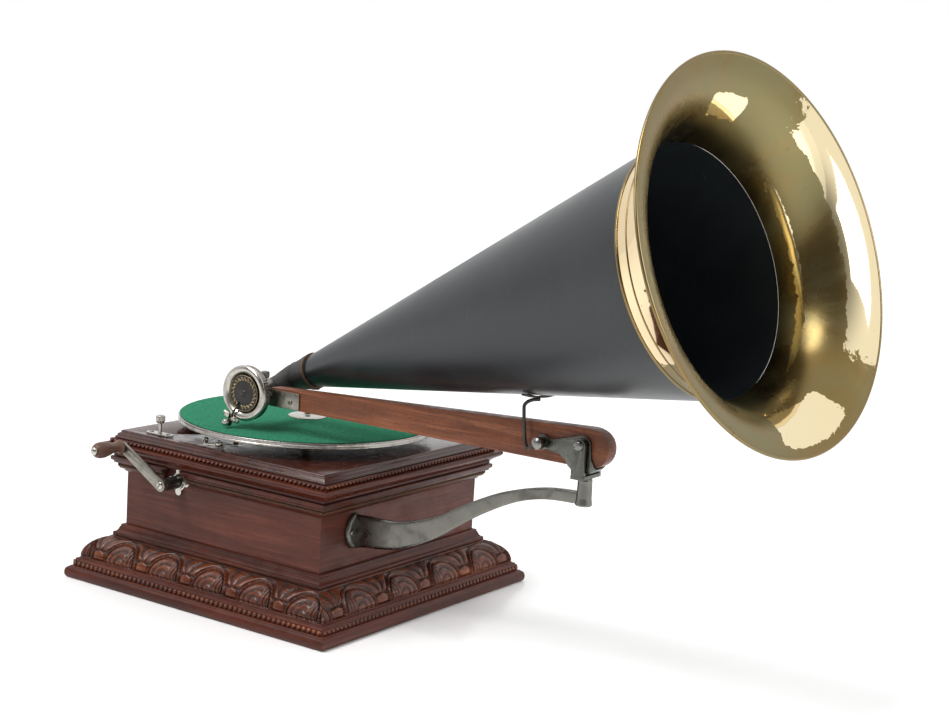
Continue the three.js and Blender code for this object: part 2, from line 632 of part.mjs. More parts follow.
// Drawn with its axis on Z, its back at height 0 and its face upwards, then turned to face -X.
function soundboxPiece(geometry) {
  return toMinusX(geometry).translate(SOUNDBOX_X, NECK.y, NECK.z);
}

// Pieces of the stylus are drawn on a bar that runs from the middle of the face along +X.
function stylusPiece(geometry) {
  return soundboxPiece(geometry.rotateZ(Math.PI - STYLUS_TILT));
}

function soundbox() {
  const caseShell = ring([
    [6, -30], [9, -30], [9, 0], [27, 0], [31, 2.4], [31, 9], [27.6, 9], [27.6, 3.4], [6, 2.4],
  ], 36);
  add('soundbox_case', soundboxPiece(caseShell), nickel());
  const face = ring([
    [21.8, 9 + GAP], [31.4, 9 + GAP], [32, 10.4], [31, 12.4], [27.4, 13.4], [24, 12.6], [22.4, 11],
  ], 36);
  add('soundbox_ring', soundboxPiece(face), nickel());
  add('diaphragm', soundboxPiece(rodZ(27, 7.4, 8.6, 40)), blackened());
  const pivotR = 31.6; // the stylus bar's pivot, counted from the soundbox's axis
  const block = join(
    box(29.4, 34.6, -8, 8, 13.4 + GAP, 18.6),
    toY(rodZ(2.3, -11.4, 11.4, 12)).translate(pivotR, 0, BAR_Z),
  );
  add('stylus_mount', stylusPiece(cut(block, box(28, 36, -2.2, 2.2, 14.7, 22))), nickel());
}

function stylus() {
  const boss = rodZ(3.4, 8.6 + GAP, 13.2, 16);
  const post = rodZ(2, 10, BAR_Z + 1, 12);
  const thinBar = box(0, 36, -1.3, 1.3, BAR_Z - 1, BAR_Z + 1);
  const chuck = box(35.2, 42.6, -3.4, 3.4, BAR_Z - 3, BAR_Z + 3);
  const socket = toX(rodZ(1.3, 39, 43, 12)).translate(0, 0, BAR_Z);
  const screwHole = rodZ(1.7, BAR_Z + 1.4, BAR_Z + 4, 12).translate(CHUCK_R, 0, 0);
  const bar = cut(join(boss, post, thinBar, chuck), socket, screwHole);
  add('stylus_bar', stylusPiece(bar), blackened());
  const screw = turned([[0, 17.7], [1.5, 17.7], [1.5, 20], [3.6, 20.4], [4.2, 22.6], [3, 25], [0, 25.6]], 14);
  add('needle_screw', stylusPiece(screw.translate(CHUCK_R, 0, 0)), nickel());
  const needle = turned([[0, 39.3], [1, 39.3], [1, NEEDLE_TIP - 2.6], [0.2, NEEDLE_TIP], [0, NEEDLE_TIP]], 8);
  add('needle', stylusPiece(toX(needle).translate(0, 0, BAR_Z)), steel());
}

// ---------- horn ----------
// hornPlace takes a piece turned round +Z, its height counted from the apex, onto the horn's axis.
const hornAxis = new THREE.Vector3(
  Math.sin(HORN_YAW) * Math.cos(HORN_PITCH),
  -Math.cos(HORN_YAW) * Math.cos(HORN_PITCH),
  Math.sin(HORN_PITCH),
);
const hornSide = new THREE.Vector3(0, 0, 1).cross(hornAxis).normalize();
const hornUp = hornAxis.clone().cross(hornSide);
const hornPlace = new THREE.Matrix4().makeBasis(hornSide, hornUp, hornAxis).setPosition(HORN_APEX);

function hornTurned(profile, segments) {
  return turned(profile, segments).applyMatrix4(hornPlace);
}

function onAxis(distance) {
  return HORN_APEX.clone().addScaledVector(hornAxis, distance);
}

function coneRadius(distance) {
  return distance * HORN_SLOPE;
}

function bellProfile() {
  const start = [coneRadius(CONE_END), CONE_END];
  const end = [BELL_R - 1.6, BELL_END - 1.4];
  const curve = new THREE.CubicBezierCurve(
    new THREE.Vector2(...start),
    new THREE.Vector2(start[0] + 7, start[1] + 34),
    new THREE.Vector2(end[0] - 40, end[1] - 8),
    new THREE.Vector2(...end),
  );
  return curve.getPoints(7).map((point) => [point.x, point.y]);
}

// A sheet-metal wall: the profile goes out along one face and back along the other.
function sheetWall(profile, thickness) {
  const offset = profile.map(([r, z], i) => {
    const [r0, z0] = profile[Math.max(i - 1, 0)];
    const [r1, z1] = profile[Math.min(i + 1, profile.length - 1)];
    const length = Math.hypot(r1 - r0, z1 - z0);
    return [r - (thickness * (z1 - z0)) / length, z + (thickness * (r1 - r0)) / length];
  });
  return [...profile, ...offset.reverse()];
}

// Bend a piece that was turned round +Z so that its axis follows a curve, height by height.
// The curve takes up the stated height, and what is above it goes straight on.
function bentAlong(geometry, curve, height) {
  const frames = new Map();
  const position = geometry.attributes.position;
  const sideways = new THREE.Vector3(0, 0, 1);
  const point = new THREE.Vector3();
  for (let i = 0; i < position.count; i += 1) {
    point.fromBufferAttribute(position, i);
    const key = point.z.toFixed(3);
    if (!frames.has(key)) {
      const t = THREE.MathUtils.clamp(point.z / height, 0, 1);
      const tangent = curve.getTangent(t);
      const right = tangent.clone().cross(sideways).normalize();
      const centre = curve.getPoint(t).addScaledVector(tangent, Math.max(point.z - height, 0));
      frames.set(key, { centre, right, up: right.clone().cross(tangent) });
    }
    const { centre, right, up } = frames.get(key);
    const bent = centre.clone().addScaledVector(right, point.x).addScaledVector(up, -point.y);
    position.setXYZ(i, bent.x, bent.y, bent.z);
  }
  return geometry;
}

// A leather hose from the soundbox's neck, which widens into a cuff over the small end of the cone.
function elbow() {
  const start = new THREE.Vector3(SOUNDBOX_X + 27, NECK.y, NECK.z);
  const end = onAxis(CONE_START - 2);
  const curve = new THREE.CubicBezierCurve3(
    start,
    start.clone().add(new THREE.Vector3(26, 0, 0)),
    end.clone().addScaledVector(hornAxis, -17),
    end,
  );
  const steps = 6;
  const bend = 100; // height taken up by the curve
  const cuff = (distance) => bend + distance - CONE_START + 2;
  const outer = [];
  const inner = [];
  for (let i = 0; i <= steps; i += 1) {
    const z = (i / steps) * bend;
    outer.push([11.4 + (i / steps) * 3.6, z]);
    inner.push([9.4 + (i / steps) * 1.2, z]);
  }
  for (const distance of [CONE_START + 12, CUFF_END]) {
    outer.push([coneRadius(distance) + 2.4, cuff(distance)]);
  }
  inner.push([10.6, cuff(CONE_START) - GAP], [coneRadius(CONE_START) + GAP, cuff(CONE_START) - GAP]);
  inner.push([coneRadius(CUFF_END) + GAP, cuff(CUFF_END)]);
  return bentAlong(ring([...outer, ...inner.reverse()], 20), curve, bend);
}

function horn() {
  add('leather_elbow', elbow(), leather());
  const coneTop = CONE_END - 1;
  const wall = sheetWall([[coneRadius(CONE_START), CONE_START], [coneRadius(coneTop), coneTop]], SHEET_T);
  add('horn_cone', ring(wall, 56).applyMatrix4(hornPlace), enamel());
  const lip = [[BELL_R, BELL_END - 1], [BELL_R, BELL_END], [BELL_R - 2.4, BELL_END]];
  const bell = sheetWall(bellProfile(), SHEET_T);
  const split = bellProfile().length;
  const profile = [...bell.slice(0, split), ...lip, ...bell.slice(split)];
  add('horn_bell', ring(profile, 56).applyMatrix4(hornPlace), brass());
}

cabinet();
crank();
motor();
turntable();
speedControl();
brake();
bracket();
yoke();
arm();
soundbox();
stylus();
horn();

export default phonograph;
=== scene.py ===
"""Looks for the wind-up phonograph. Lengths are in millimetres until a mesh is made, then in metres."""
import json
from math import atan2, copysign, cos, floor, hypot, pi, radians, remainder, sin

import bmesh
import bpy
from mathutils import Matrix, Vector, noise


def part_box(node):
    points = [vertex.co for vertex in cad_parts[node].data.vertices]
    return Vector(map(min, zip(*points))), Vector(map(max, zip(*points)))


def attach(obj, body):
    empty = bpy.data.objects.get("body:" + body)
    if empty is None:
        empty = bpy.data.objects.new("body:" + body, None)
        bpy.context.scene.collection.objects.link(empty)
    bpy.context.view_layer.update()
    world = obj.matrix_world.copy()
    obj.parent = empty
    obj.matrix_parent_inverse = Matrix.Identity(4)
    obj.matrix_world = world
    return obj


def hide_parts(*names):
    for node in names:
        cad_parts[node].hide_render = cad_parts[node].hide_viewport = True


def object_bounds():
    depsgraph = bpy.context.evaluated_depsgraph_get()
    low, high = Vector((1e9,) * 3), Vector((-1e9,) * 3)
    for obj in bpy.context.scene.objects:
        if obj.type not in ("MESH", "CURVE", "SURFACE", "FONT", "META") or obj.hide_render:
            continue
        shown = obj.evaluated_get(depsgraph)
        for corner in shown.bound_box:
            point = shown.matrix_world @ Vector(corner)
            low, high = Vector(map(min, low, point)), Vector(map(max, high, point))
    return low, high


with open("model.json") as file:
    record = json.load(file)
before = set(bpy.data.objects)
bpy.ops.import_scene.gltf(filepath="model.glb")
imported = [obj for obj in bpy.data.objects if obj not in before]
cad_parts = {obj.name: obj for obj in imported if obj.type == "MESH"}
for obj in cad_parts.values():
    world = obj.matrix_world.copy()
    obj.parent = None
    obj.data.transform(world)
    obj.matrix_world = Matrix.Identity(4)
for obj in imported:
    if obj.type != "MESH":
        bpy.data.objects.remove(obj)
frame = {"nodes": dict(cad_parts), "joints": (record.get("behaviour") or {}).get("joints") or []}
cad_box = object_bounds()

MM = 0.001
UP = Vector((0, 0, 1))


# ---------- dimensions shared with the CAD part ----------
def node_box(name):
    low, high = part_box(name)
    return low / MM, high / MM


def joint_at(name):
    joint = next(j for j in frame["joints"] if j["name"] == name)
    return Vector(joint["pos_m"]) / MM


SHELL = node_box("right_panel")[1].x + 0.3
TOP_Z = node_box("top_board")[1].z
PLATTER_LOW, PLATTER_HIGH = node_box("platter")
FELT_LOW, FELT_HIGH = node_box("felt_mat")
ARM_LOW, ARM_HIGH = node_box("arm_bar")
ARM_X = (ARM_LOW.x + ARM_HIGH.x) / 2
ARM_HALF = (ARM_HIGH.x - ARM_LOW.x) / 2
PIVOT = joint_at("arm_lift")
NECK = joint_at("soundbox_turn")
SOUNDBOX_X = -108
BOLT_Y, BOLT_Z = -393, 248.5
HORN_APEX = Vector((-32, 45, 235))
HORN_YAW = radians(-7.88)
HORN_PITCH = radians(18.84)
HORN_SLOPE = 0.193
CONE_START, CUFF_END, CONE_END, BELL_END, BELL_R = 66, 96, 651, 728.3, 191.5
# How far the wood pattern is moved from one side of the case to the next, so that no two sides match.
SIDE_GRAIN, SIDE_FIGURE = 911, 37


# ---------- mesh helpers ----------
def turn(k, count):
    """The angle of step k out of count round a circle."""
    return 2 * pi * k / count


def polar(r, a, z):
    return Vector((r * cos(a), r * sin(a), z))


def spoke(centre, right, up, r, a):
    return centre + right * (r * cos(a)) + up * (r * sin(a))


def oval(x, y, half_x, half_y, count):
    angles = [turn(k, count) for k in range(count)]
    return [(x + half_x * cos(a), y + half_y * sin(a)) for a in angles]


def dome_steps(rings, around):
    """(angle, tilt) at every point of a half ball, ring by ring from its rim to its top."""
    return [(turn(j, around), pi / 2 * i / rings) for i in range(rings + 1) for j in range(around)]


def in_scene(name, data):
    obj = bpy.data.objects.new(name, data)
    bpy.context.scene.collection.objects.link(obj)
    return obj


def finish_mesh(bm, name, body, look, replaces, sharp):
    mesh = bpy.data.meshes.new(name)
    bmesh.ops.recalc_face_normals(bm, faces=bm.faces)
    bm.to_mesh(mesh)
    bm.free()
    mesh.polygons.foreach_set("use_smooth", [True] * len(mesh.polygons))
    mesh.set_sharp_from_angle(angle=radians(sharp))
    mesh.materials.append(M[look])
    obj = in_scene(name, mesh)
    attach(obj, body)
    if replaces:
        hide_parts(*replaces)
    return obj


def piece(name, shells, body, look, replaces=(), sharp=35):
    """shells is a list of (points, faces, layers); layers maps a name to one value per point.
    look is a key of M, the materials."""
    bm = bmesh.new()
    grain = bm.verts.layers.float_vector.new("grain")
    # This layer holds painted shade in the carving's grooves, at the feet of beads and cord, in screw slots
    # and under the platter, and the brown raw edge of the leather.
    shade_and_stain = bm.verts.layers.float.new("shade_and_stain")
    polish = bm.verts.layers.float.new("polish")
    for points, faces, layers in shells:
        verts = []
        for i, p in enumerate(points):
            v = bm.verts.new(Vector(p) * MM)
            v[grain] = Vector(layers["grain"][i]) * MM if "grain" in layers else v.co
            v[shade_and_stain] = layers["shade_and_stain"][i] if "shade_and_stain" in layers else 0.0
            v[polish] = layers["polish"][i] if "polish" in layers else 0.0
            verts.append(v)
        for face in faces:
            try:
                bm.faces.new([verts[i] for i in face])
            except ValueError:
                pass
        bmesh.ops.remove_doubles(bm, verts=verts, dist=1e-6)
    return finish_mesh(bm, name, body, look, replaces, sharp)


def grid_faces(rows, columns, wrap_rows=False, wrap_columns=False):
    faces = []
    for i in range(rows if wrap_rows else rows - 1):
        for j in range(columns if wrap_columns else columns - 1):
            a, b = i * columns, ((i + 1) % rows) * columns
            k = (j + 1) % columns
            faces.append((a + j, a + k, b + k, b + j))
    return faces


def turned(profile, segments, place=Matrix(), closed=False, relief=None):
    """A profile of (radius, height) turned round Z; relief(angle, row) adds to the radius."""
    points = []
    for row, (r, z) in enumerate(profile):
        for j in range(segments):
            a = turn(j, segments)
            reach = r + (relief(a, row) if relief else 0)
            points.append(place @ polar(reach, a, z))
    return points, grid_faces(len(profile), segments, closed, True), {}


def knurl(depth, teeth, first, low=0.0):
    """A relief for turned: teeth round four rows of the profile, from row first on."""
    def relief(a, row):
        return depth * max(low, cos(a * teeth)) if first <= row <= first + 3 else 0
    return relief


def smooth_line(points, steps=6):
    """A Catmull-Rom line through the points."""
    ends = [points[0]] + list(points) + [points[-1]]
    line = []
    for i in range(1, len(ends) - 2):
        p0, p1, p2, p3 = (Vector(ends[i + k]) for k in (-1, 0, 1, 2))
        for s in range(steps):
            t = s / steps
            line.append(0.5 * (2 * p1 + (p2 - p0) * t + (2 * p0 - 5 * p1 + 4 * p2 - p3) * t * t
                               + (3 * p1 - p0 - 3 * p2 + p3) * t ** 3))
    line.append(Vector(points[-1]))
    return line


def eased(profile, reach=0.5):
    """Each corner of a closed profile is cut back by reach, twice, so that it reads as rounded."""
    for distance in (reach, reach * 0.35):
        out = []
        count = len(profile)
        for i, p in enumerate(profile):
            p = Vector(p)
            for q in (Vector(profile[i - 1]), Vector(profile[(i + 1) % count])):
                length = (q - p).length
                out.append(p + (q - p) * min(distance / max(length, 1e-6), 0.4))
        profile = out
    return profile


def bezier(a, b, c, d, steps):
    line = []
    for i in range(steps + 1):
        t = i / steps
        u = 1 - t
        line.append(a * u ** 3 + b * 3 * u * u * t + c * 3 * u * t * t + d * t ** 3)
    return line


def side_axes(side):
    a = side * pi / 2
    return Vector((cos(a), sin(a), 0)), Vector((-sin(a), cos(a), 0))


def mitred(profile, stations=2, relief=None, closed=True):
    """A profile of (half width, height) laid round a square.
    relief(along, row, side) gives (outward, painted shade)."""
    shells = []
    rows = len(profile)
    for side in range(4):
        outward, along = side_axes(side)
        points, grain, shade_and_stain = [], [], []
        for row, (w, z) in enumerate(profile):
            before = Vector(profile[max(row - 1, 0)])
            after = Vector(profile[min(row + 1, rows - 1)])
            run = (after - before).normalized()
            normal = Vector((run.y, -run.x))
            for k in range(stations):
                f = 2 * k / (stations - 1) - 1
                shift, deep = relief(f * w, row, side) if relief else (0, 0)
                reach = w + normal.x * shift
                points.append(outward * reach + along * (f * w) + UP * (z + normal.y * shift))
                grain.append((f * w + side * SIDE_GRAIN, w + side * SIDE_FIGURE, z))
                shade_and_stain.append(deep)
        shells.append((points, grid_faces(rows, stations, closed, False), {"grain": grain, "shade_and_stain": shade_and_stain}))
    return shells


def row_places(half_width, height, pitch):
    """Even places round a square: (side, outward, along, distance from the side's middle, centre)."""
    count = round(2 * half_width / pitch)
    step = 2 * half_width / count
    for side in range(4):
        outward, along = side_axes(side)
        for n in range(count):
            s = -half_width + step * (n + 0.5)
            yield side, outward, along, s, outward * half_width + along * s + UP * height


def bead_row(half_width, height, pitch, size, flat=1.0):
    """Beads in a row round a square; size is (along, out, up) half lengths."""
    shells = []
    rings, around = 6, 10
    for side, outward, along, s, centre in row_places(half_width, height, pitch):
        points, grain, shade_and_stain = [], [], []
        for a, tilt in dome_steps(rings, around):
            spread = cos(tilt) ** flat
            p = (along * (size[0] * spread * cos(a)) + UP * (size[2] * spread * sin(a))
                 + outward * (size[1] * sin(tilt)))
            points.append(centre + p)
            grain.append((s + side * SIDE_GRAIN + p.dot(along), half_width, height + p.z))
            # Painted shade, darkest at the foot of each bead where it meets the ground.
            shade_and_stain.append(max(0.0, 1 - sin(tilt) * 2.2))
        layers = {"grain": grain, "shade_and_stain": shade_and_stain}
        shells.append((points, grid_faces(rings + 1, around, False, True), layers))
    return shells


def refined(node, body, look, width=0.5, angle=28, segments=2):
    """The CAD node's own shape with its hard edges rounded; stands for that node."""
    bm = bmesh.new()
    bm.from_mesh(frame["nodes"][node].data)
    bmesh.ops.remove_doubles(bm, verts=bm.verts, dist=2e-6)
    bmesh.ops.dissolve_limit(bm, angle_limit=radians(0.8), verts=bm.verts, edges=bm.edges)
    hard = [e for e in bm.edges if len(e.link_faces) == 2 and e.calc_face_angle(0) > radians(angle)]
    bmesh.ops.bevel(bm, geom=hard, offset=width * MM, offset_type="OFFSET", segments=segments,
                    profile=0.5, affect="EDGES", clamp_overlap=True)
    return finish_mesh(bm, node + "_finished", body, look, (node,), 30)


def tube(path, radius, around=16):
    """A round tube along a path, with closed ends. radius is a number or one per path point."""
    points = []
    up = UP
    count = len(path)
    for i, p in enumerate(path):
        tangent = (path[min(i + 1, count - 1)] - path[max(i - 1, 0)]).normalized()
        right = tangent.cross(up)
        if right.length < 1e-3:
            right = Vector((0, 1, 0))
        right.normalize()
        up = right.cross(tangent).normalized()
        r = radius[i] if isinstance(radius, (list, tuple)) else radius
        for j in range(around):
            points.append(spoke(p, right, up, r, turn(j, around)))
    faces = grid_faces(count, around, False, True)
    faces.append(tuple(range(around)))
    faces.append(tuple(range((count - 1) * around, count * around)))
    return points, faces, {}


def facing(origin, axis):
    """A matrix that takes +Z to axis and puts its foot at origin."""
    z = Vector(axis).normalized()
    x = UP.cross(z)
    x = x.normalized() if x.length > 1e-6 else Vector((1, 0, 0))
    y = z.cross(x)
    return Matrix.Translation(Vector(origin)) @ Matrix((x, y, z)).transposed().to_4x4()


def screw_head(place, radius, dome, slot_angle, slot_width=0.9):
    """A slotted domed head drawn on rings, its slot pressed in."""
    points, shade_and_stain = [], []
    rings, around, slot_depth = 14, 36, 1.1
    for i in range(rings + 1):
        r = radius * i / rings
        for j in range(around):
            a = turn(j, around)
            x, y = r * cos(a), r * sin(a)
            across = abs(-x * sin(slot_angle) + y * cos(slot_angle))
            cut_in = slot_depth if across < slot_width / 2 else 0
            z = dome * (1 - (r / radius) ** 2) ** 0.5 + 0.8 - cut_in
            points.append(place @ Vector((x, y, z)))
            # Painted shade in the slot.
            shade_and_stain.append(1.0 if cut_in else 0.0)
    for j in range(around):
        a = turn(j, around)
        points.append(place @ polar(radius, a, -0.6))
        # Painted shade on the skirt under the head.
        shade_and_stain.append(0.4)
    return points, grid_faces(rings + 2, around, False, True), {"shade_and_stain": shade_and_stain}


def screw(name, body, spot, *sizes, replaces=()):
    """A steel screw head as a piece of its own; sizes goes on to screw_head."""
    piece(name, [screw_head(spot, *sizes)], body, "steel", replaces)


# ---------- materials ----------
class Nodes:
    """Short calls for building one material's node tree."""

    def __init__(self, name):
        self.material = bpy.data.materials.new(name)
        self.material.use_nodes = True
        self.tree = self.material.node_tree
        self.shader = self.tree.nodes["Principled BSDF"]
        self.place = self.add("TexCoord").outputs["Object"]

    def add(self, kind, **settings):
        node = self.tree.nodes.new("ShaderNode" + kind)
        for key, value in settings.items():
            setattr(node, key, value)
        return node

    def wire(self, source, socket):
        self.tree.links.new(source, socket)

    def put(self, socket, value):
        if isinstance(value, bpy.types.NodeSocket):
            self.wire(value, socket)
        else:
            socket.default_value = value

    def output(self, name, kind, inputs, **settings):
        """Adds a node, puts a link or a plain value in each input, and gives back one output."""
        node = self.add(kind, **settings)
        for key, value in inputs.items():
            self.put(node.inputs[key], value)
        return node.outputs[name]

    def scaled(self, scale, source=None, spin=(0, 0, 0)):
        return self.output("Vector", "Mapping",
                           {"Vector": source or self.place, "Scale": scale, "Rotation": spin})

    def noise(self, vector, scale, detail=4, roughness=0.55, distortion=0.0):
        return self.output("Fac", "TexNoise", {"Vector": vector, "Scale": scale, "Detail": detail,
                                               "Roughness": roughness, "Distortion": distortion})

    def ramp(self, source, low, high, a=0.0, b=1.0):
        return self.output("Result", "MapRange", {
            "Value": source, "From Min": low, "From Max": high, "To Min": a, "To Max": b},
            interpolation_type="SMOOTHSTEP")

    def math(self, operation, a, b):
        return self.output("Value", "Math", {0: a, 1: b}, operation=operation)

    def times(self, a, b):
        return self.math("MULTIPLY", a, b)

    def plus(self, a, b):
        return self.math("ADD", a, b)

    def mix(self, factor, a, b):
        a, b = ((*c, 1) if isinstance(c, tuple) else c for c in (a, b))
        return self.output("Result", "Mix", {"Factor": factor, "A": a, "B": b}, data_type="RGBA")

    def attribute(self, name, output="Fac"):
        return self.output(output, "Attribute", {}, attribute_name=name)

    def bump(self, height, strength, distance, normal=None):
        inputs = {"Height": height, "Strength": strength, "Distance": distance}
        if normal:
            inputs["Normal"] = normal
        return self.output("Normal", "Bump", inputs)

    def surface(self, colour, roughness, normal=None, **uniform):
        self.put(self.shader.inputs["Base Color"], colour)
        self.put(self.shader.inputs["Roughness"], roughness)
        if normal:
            self.wire(normal, self.shader.inputs["Normal"])
        for key, value in uniform.items():
            self.shader.inputs[key.replace("_", " ")].default_value = value
        return self.material


def wood(name, dark, mid, light, along="grain", rough=0.33, pores=0.5, gloss=0.28):
    """Straight-grained wood. along is the grain attribute, or the axis that the grain follows."""
    n = Nodes(name)
    if along == "grain":
        source = n.attribute("grain", "Vector")
        figure_scale, line_scale, pore_scale = (5, 46, 46), (9, 300, 300), (160, 2600, 2600)
    else:
        source = n.place
        order = {"X": (0, 1, 1), "Y": (1, 0, 1)}[along]
        figure_scale = tuple(46 if k else 5 for k in order)
        line_scale = tuple(300 if k else 9 for k in order)
        pore_scale = tuple(2600 if k else 160 for k in order)
    figure = n.noise(n.scaled(figure_scale, source), 1, 4, 0.6, 0.6)
    lines = n.noise(n.scaled(line_scale, source), 1, 5, 0.65)
    pore = n.noise(n.scaled(pore_scale, source), 1, 2, 0.5)
    cloud = n.noise(source, 14, 3)
    tone = n.mix(n.ramp(figure, 0.32, 0.68), dark, mid)
    tone = n.mix(n.ramp(lines, 0.48, 0.72, 0, 0.75), tone, light)
    tone = n.mix(n.ramp(cloud, 0.35, 0.7, 0, 0.35), tone, dark)
    pit = n.ramp(pore, 0.60, 0.68)
    tone = n.mix(n.times(pit, pores), tone, tuple(c * 0.25 for c in dark))
    shade_and_stain = n.attribute("shade_and_stain")
    # Painted shade with dark patina: the wood goes nearly black where the layer is high, in the carving's
    # grooves and at the feet of beads and cord.
    tone = n.mix(n.times(shade_and_stain, 0.95), tone, (0.008, 0.0045, 0.0032))
    smear = n.noise(source, 60, 4)
    roughness = n.ramp(smear, 0.3, 0.75, rough - 0.07, rough + 0.12)
    roughness = n.plus(roughness, n.times(shade_and_stain, 0.3))
    normal = n.bump(n.math("SUBTRACT", lines, n.times(pit, 0.6)), 0.18, 0.0004)
    return n.surface(tone, roughness, normal, Specular_IOR_Level=gloss)


def metal(name, colour, worn, rough=0.2, patina=0.3, pit=0.15, scale=60, metallic=1.0, brushed=None):
    """Plated or bare metal: cloudy roughness, stains of worn colour, painted shade in that same worn colour
    in screw slots and under the platter, fine scratches and small pits.
    """
    n = Nodes(name)
    cloud = n.noise(n.place, scale, 5, 0.6, 0.4)
    spots = n.noise(n.place, scale * 9, 3, 0.6)
    shade_and_stain = n.attribute("shade_and_stain")
    tarnish_and_shade = n.math("MAXIMUM", n.times(n.ramp(cloud, 0.5, 0.72), patina),
                   n.times(n.ramp(spots, 0.62, 0.74), patina))
    # Painted shade: where the layer is high, in screw slots and under the platter, the metal takes the dark
    # worn colour.
    tarnish_and_shade = n.math("MAXIMUM", tarnish_and_shade, n.times(shade_and_stain, 0.85))
    tone = n.mix(tarnish_and_shade, colour, worn)
    scratch = n.noise(n.scaled(brushed or (900, 90, 900)), 1, 3, 0.5)
    roughness = n.plus(n.ramp(cloud, 0.3, 0.75, rough * 0.7, rough * 1.6),
                       n.ramp(scratch, 0.55, 0.8, 0, 0.1))
    roughness = n.plus(roughness, n.times(tarnish_and_shade, 0.22))
    marks = n.plus(n.times(spots, 0.8), n.times(scratch, 0.4))
    normal = n.bump(marks, pit, 0.00025)
    return n.surface(tone, roughness, normal, Metallic=metallic)


def brass_sheet(name, bright, tarnish, olive):
    """Sheet brass: a dull, cloudy film of tarnish with ragged islands rubbed back to a polish.
    The polish attribute is high where hands and cloths have reached."""
    n = Nodes(name)
    ragged = n.noise(n.place, 34, 6, 0.66, 1.3)
    drift = n.noise(n.place, 11, 5, 0.6, 0.6)
    spots = n.noise(n.place, 150, 4, 0.65)
    polish = n.attribute("polish")
    field = n.plus(polish, n.times(n.math("SUBTRACT", ragged, 0.5), 2.1))
    film = n.ramp(field, 0.42, 0.47, 1.0, 0.0)
    film = n.math("MAXIMUM", film, n.ramp(spots, 0.68, 0.74, 0, 0.7))
    dull = n.mix(n.ramp(drift, 0.35, 0.65), tarnish, olive)
    dull = n.mix(n.ramp(ragged, 0.60, 0.70, 0, 0.55), dull, tuple(c * 0.55 for c in tarnish))
    tone = n.mix(film, bright, dull)
    haze = n.ramp(drift, 0.3, 0.7, 0.14, 0.3)
    roughness = n.plus(n.times(film, haze), 0.06)
    dents = n.noise(n.place, 16, 2, 0.5)
    normal = n.bump(dents, 0.3, 0.0014, n.bump(spots, 0.05, 0.0002))
    return n.surface(tone, roughness, normal, Metallic=1.0)


def enamel(name):
    """Old satin paint: a slate-black film with hairline scratches, chips and rubbed patches."""
    n = Nodes(name)
    cloud = n.noise(n.place, 9, 5, 0.6, 0.4)
    fine = n.noise(n.place, 260, 3, 0.6)
    hair = n.noise(n.scaled((40, 900, 40), spin=(0.3, 0.5, 0.9)), 1, 2, 0.4)
    chips = n.noise(n.place, 85, 4, 0.7)
    tone = n.mix(n.ramp(cloud, 0.3, 0.7), (0.0085, 0.0105, 0.0125), (0.014, 0.0175, 0.0200))
    tone = n.mix(n.ramp(hair, 0.70, 0.76, 0, 0.35), tone, (0.10, 0.09, 0.08))
    tone = n.mix(n.ramp(chips, 0.74, 0.76, 0, 0.9), tone, (0.16, 0.10, 0.06))
    roughness = n.ramp(cloud, 0.3, 0.75, 0.27, 0.38)
    normal = n.bump(cloud, 0.12, 0.002, n.bump(fine, 0.06, 0.0002))
    return n.surface(tone, roughness, normal, Specular_IOR_Level=0.42)


def felt(name):
    """Napped wool: matted fibres, light lint and slow changes of green."""
    n = Nodes(name)
    nap = n.noise(n.place, 900, 4, 0.7)
    tuft = n.noise(n.place, 240, 4, 0.65, 0.8)
    cloud = n.noise(n.place, 16, 4, 0.6)
    lint = n.noise(n.scaled((500, 1400, 500), spin=(0, 0, 0.7)), 1, 2)
    tone = n.mix(n.ramp(tuft, 0.3, 0.7), (0.020, 0.135, 0.072), (0.042, 0.225, 0.128))
    tone = n.mix(n.ramp(cloud, 0.35, 0.7, 0, 0.45), tone, (0.028, 0.185, 0.100))
    tone = n.mix(n.ramp(lint, 0.70, 0.78, 0, 0.4), tone, (0.15, 0.33, 0.23))
    normal = n.bump(nap, 0.6, 0.0006, n.bump(tuft, 0.5, 0.0010))
    return n.surface(tone, n.ramp(nap, 0.3, 0.7, 0.88, 1.0), normal, Specular_IOR_Level=0.03)


def leather(name, dark, light, rough=0.5):
    n = Nodes(name)
    cells = n.add("TexVoronoi", feature="DISTANCE_TO_EDGE")
    n.wire(n.place, cells.inputs["Vector"])
    cells.inputs["Scale"].default_value = 900
    crease = n.noise(n.place, 120, 5, 0.65, 0.8)
    cloud = n.noise(n.place, 40, 4, 0.6)
    shade_and_stain = n.attribute("shade_and_stain")
    tone = n.mix(n.ramp(cloud, 0.35, 0.7), dark, light)
    tone = n.mix(n.ramp(crease, 0.62, 0.75, 0, 0.4), tone, tuple(c * 2.2 for c in light))
    tone = n.mix(shade_and_stain, tone, (0.16, 0.085, 0.045))
    height = n.plus(n.ramp(cells.outputs["Distance"], 0.0, 0.12), n.times(crease, 1.4))
    return n.surface(tone, n.ramp(cloud, 0.3, 0.75, rough - 0.08, rough + 0.18), n.bump(height, 0.4, 0.0004),
                     Specular_IOR_Level=0.4)


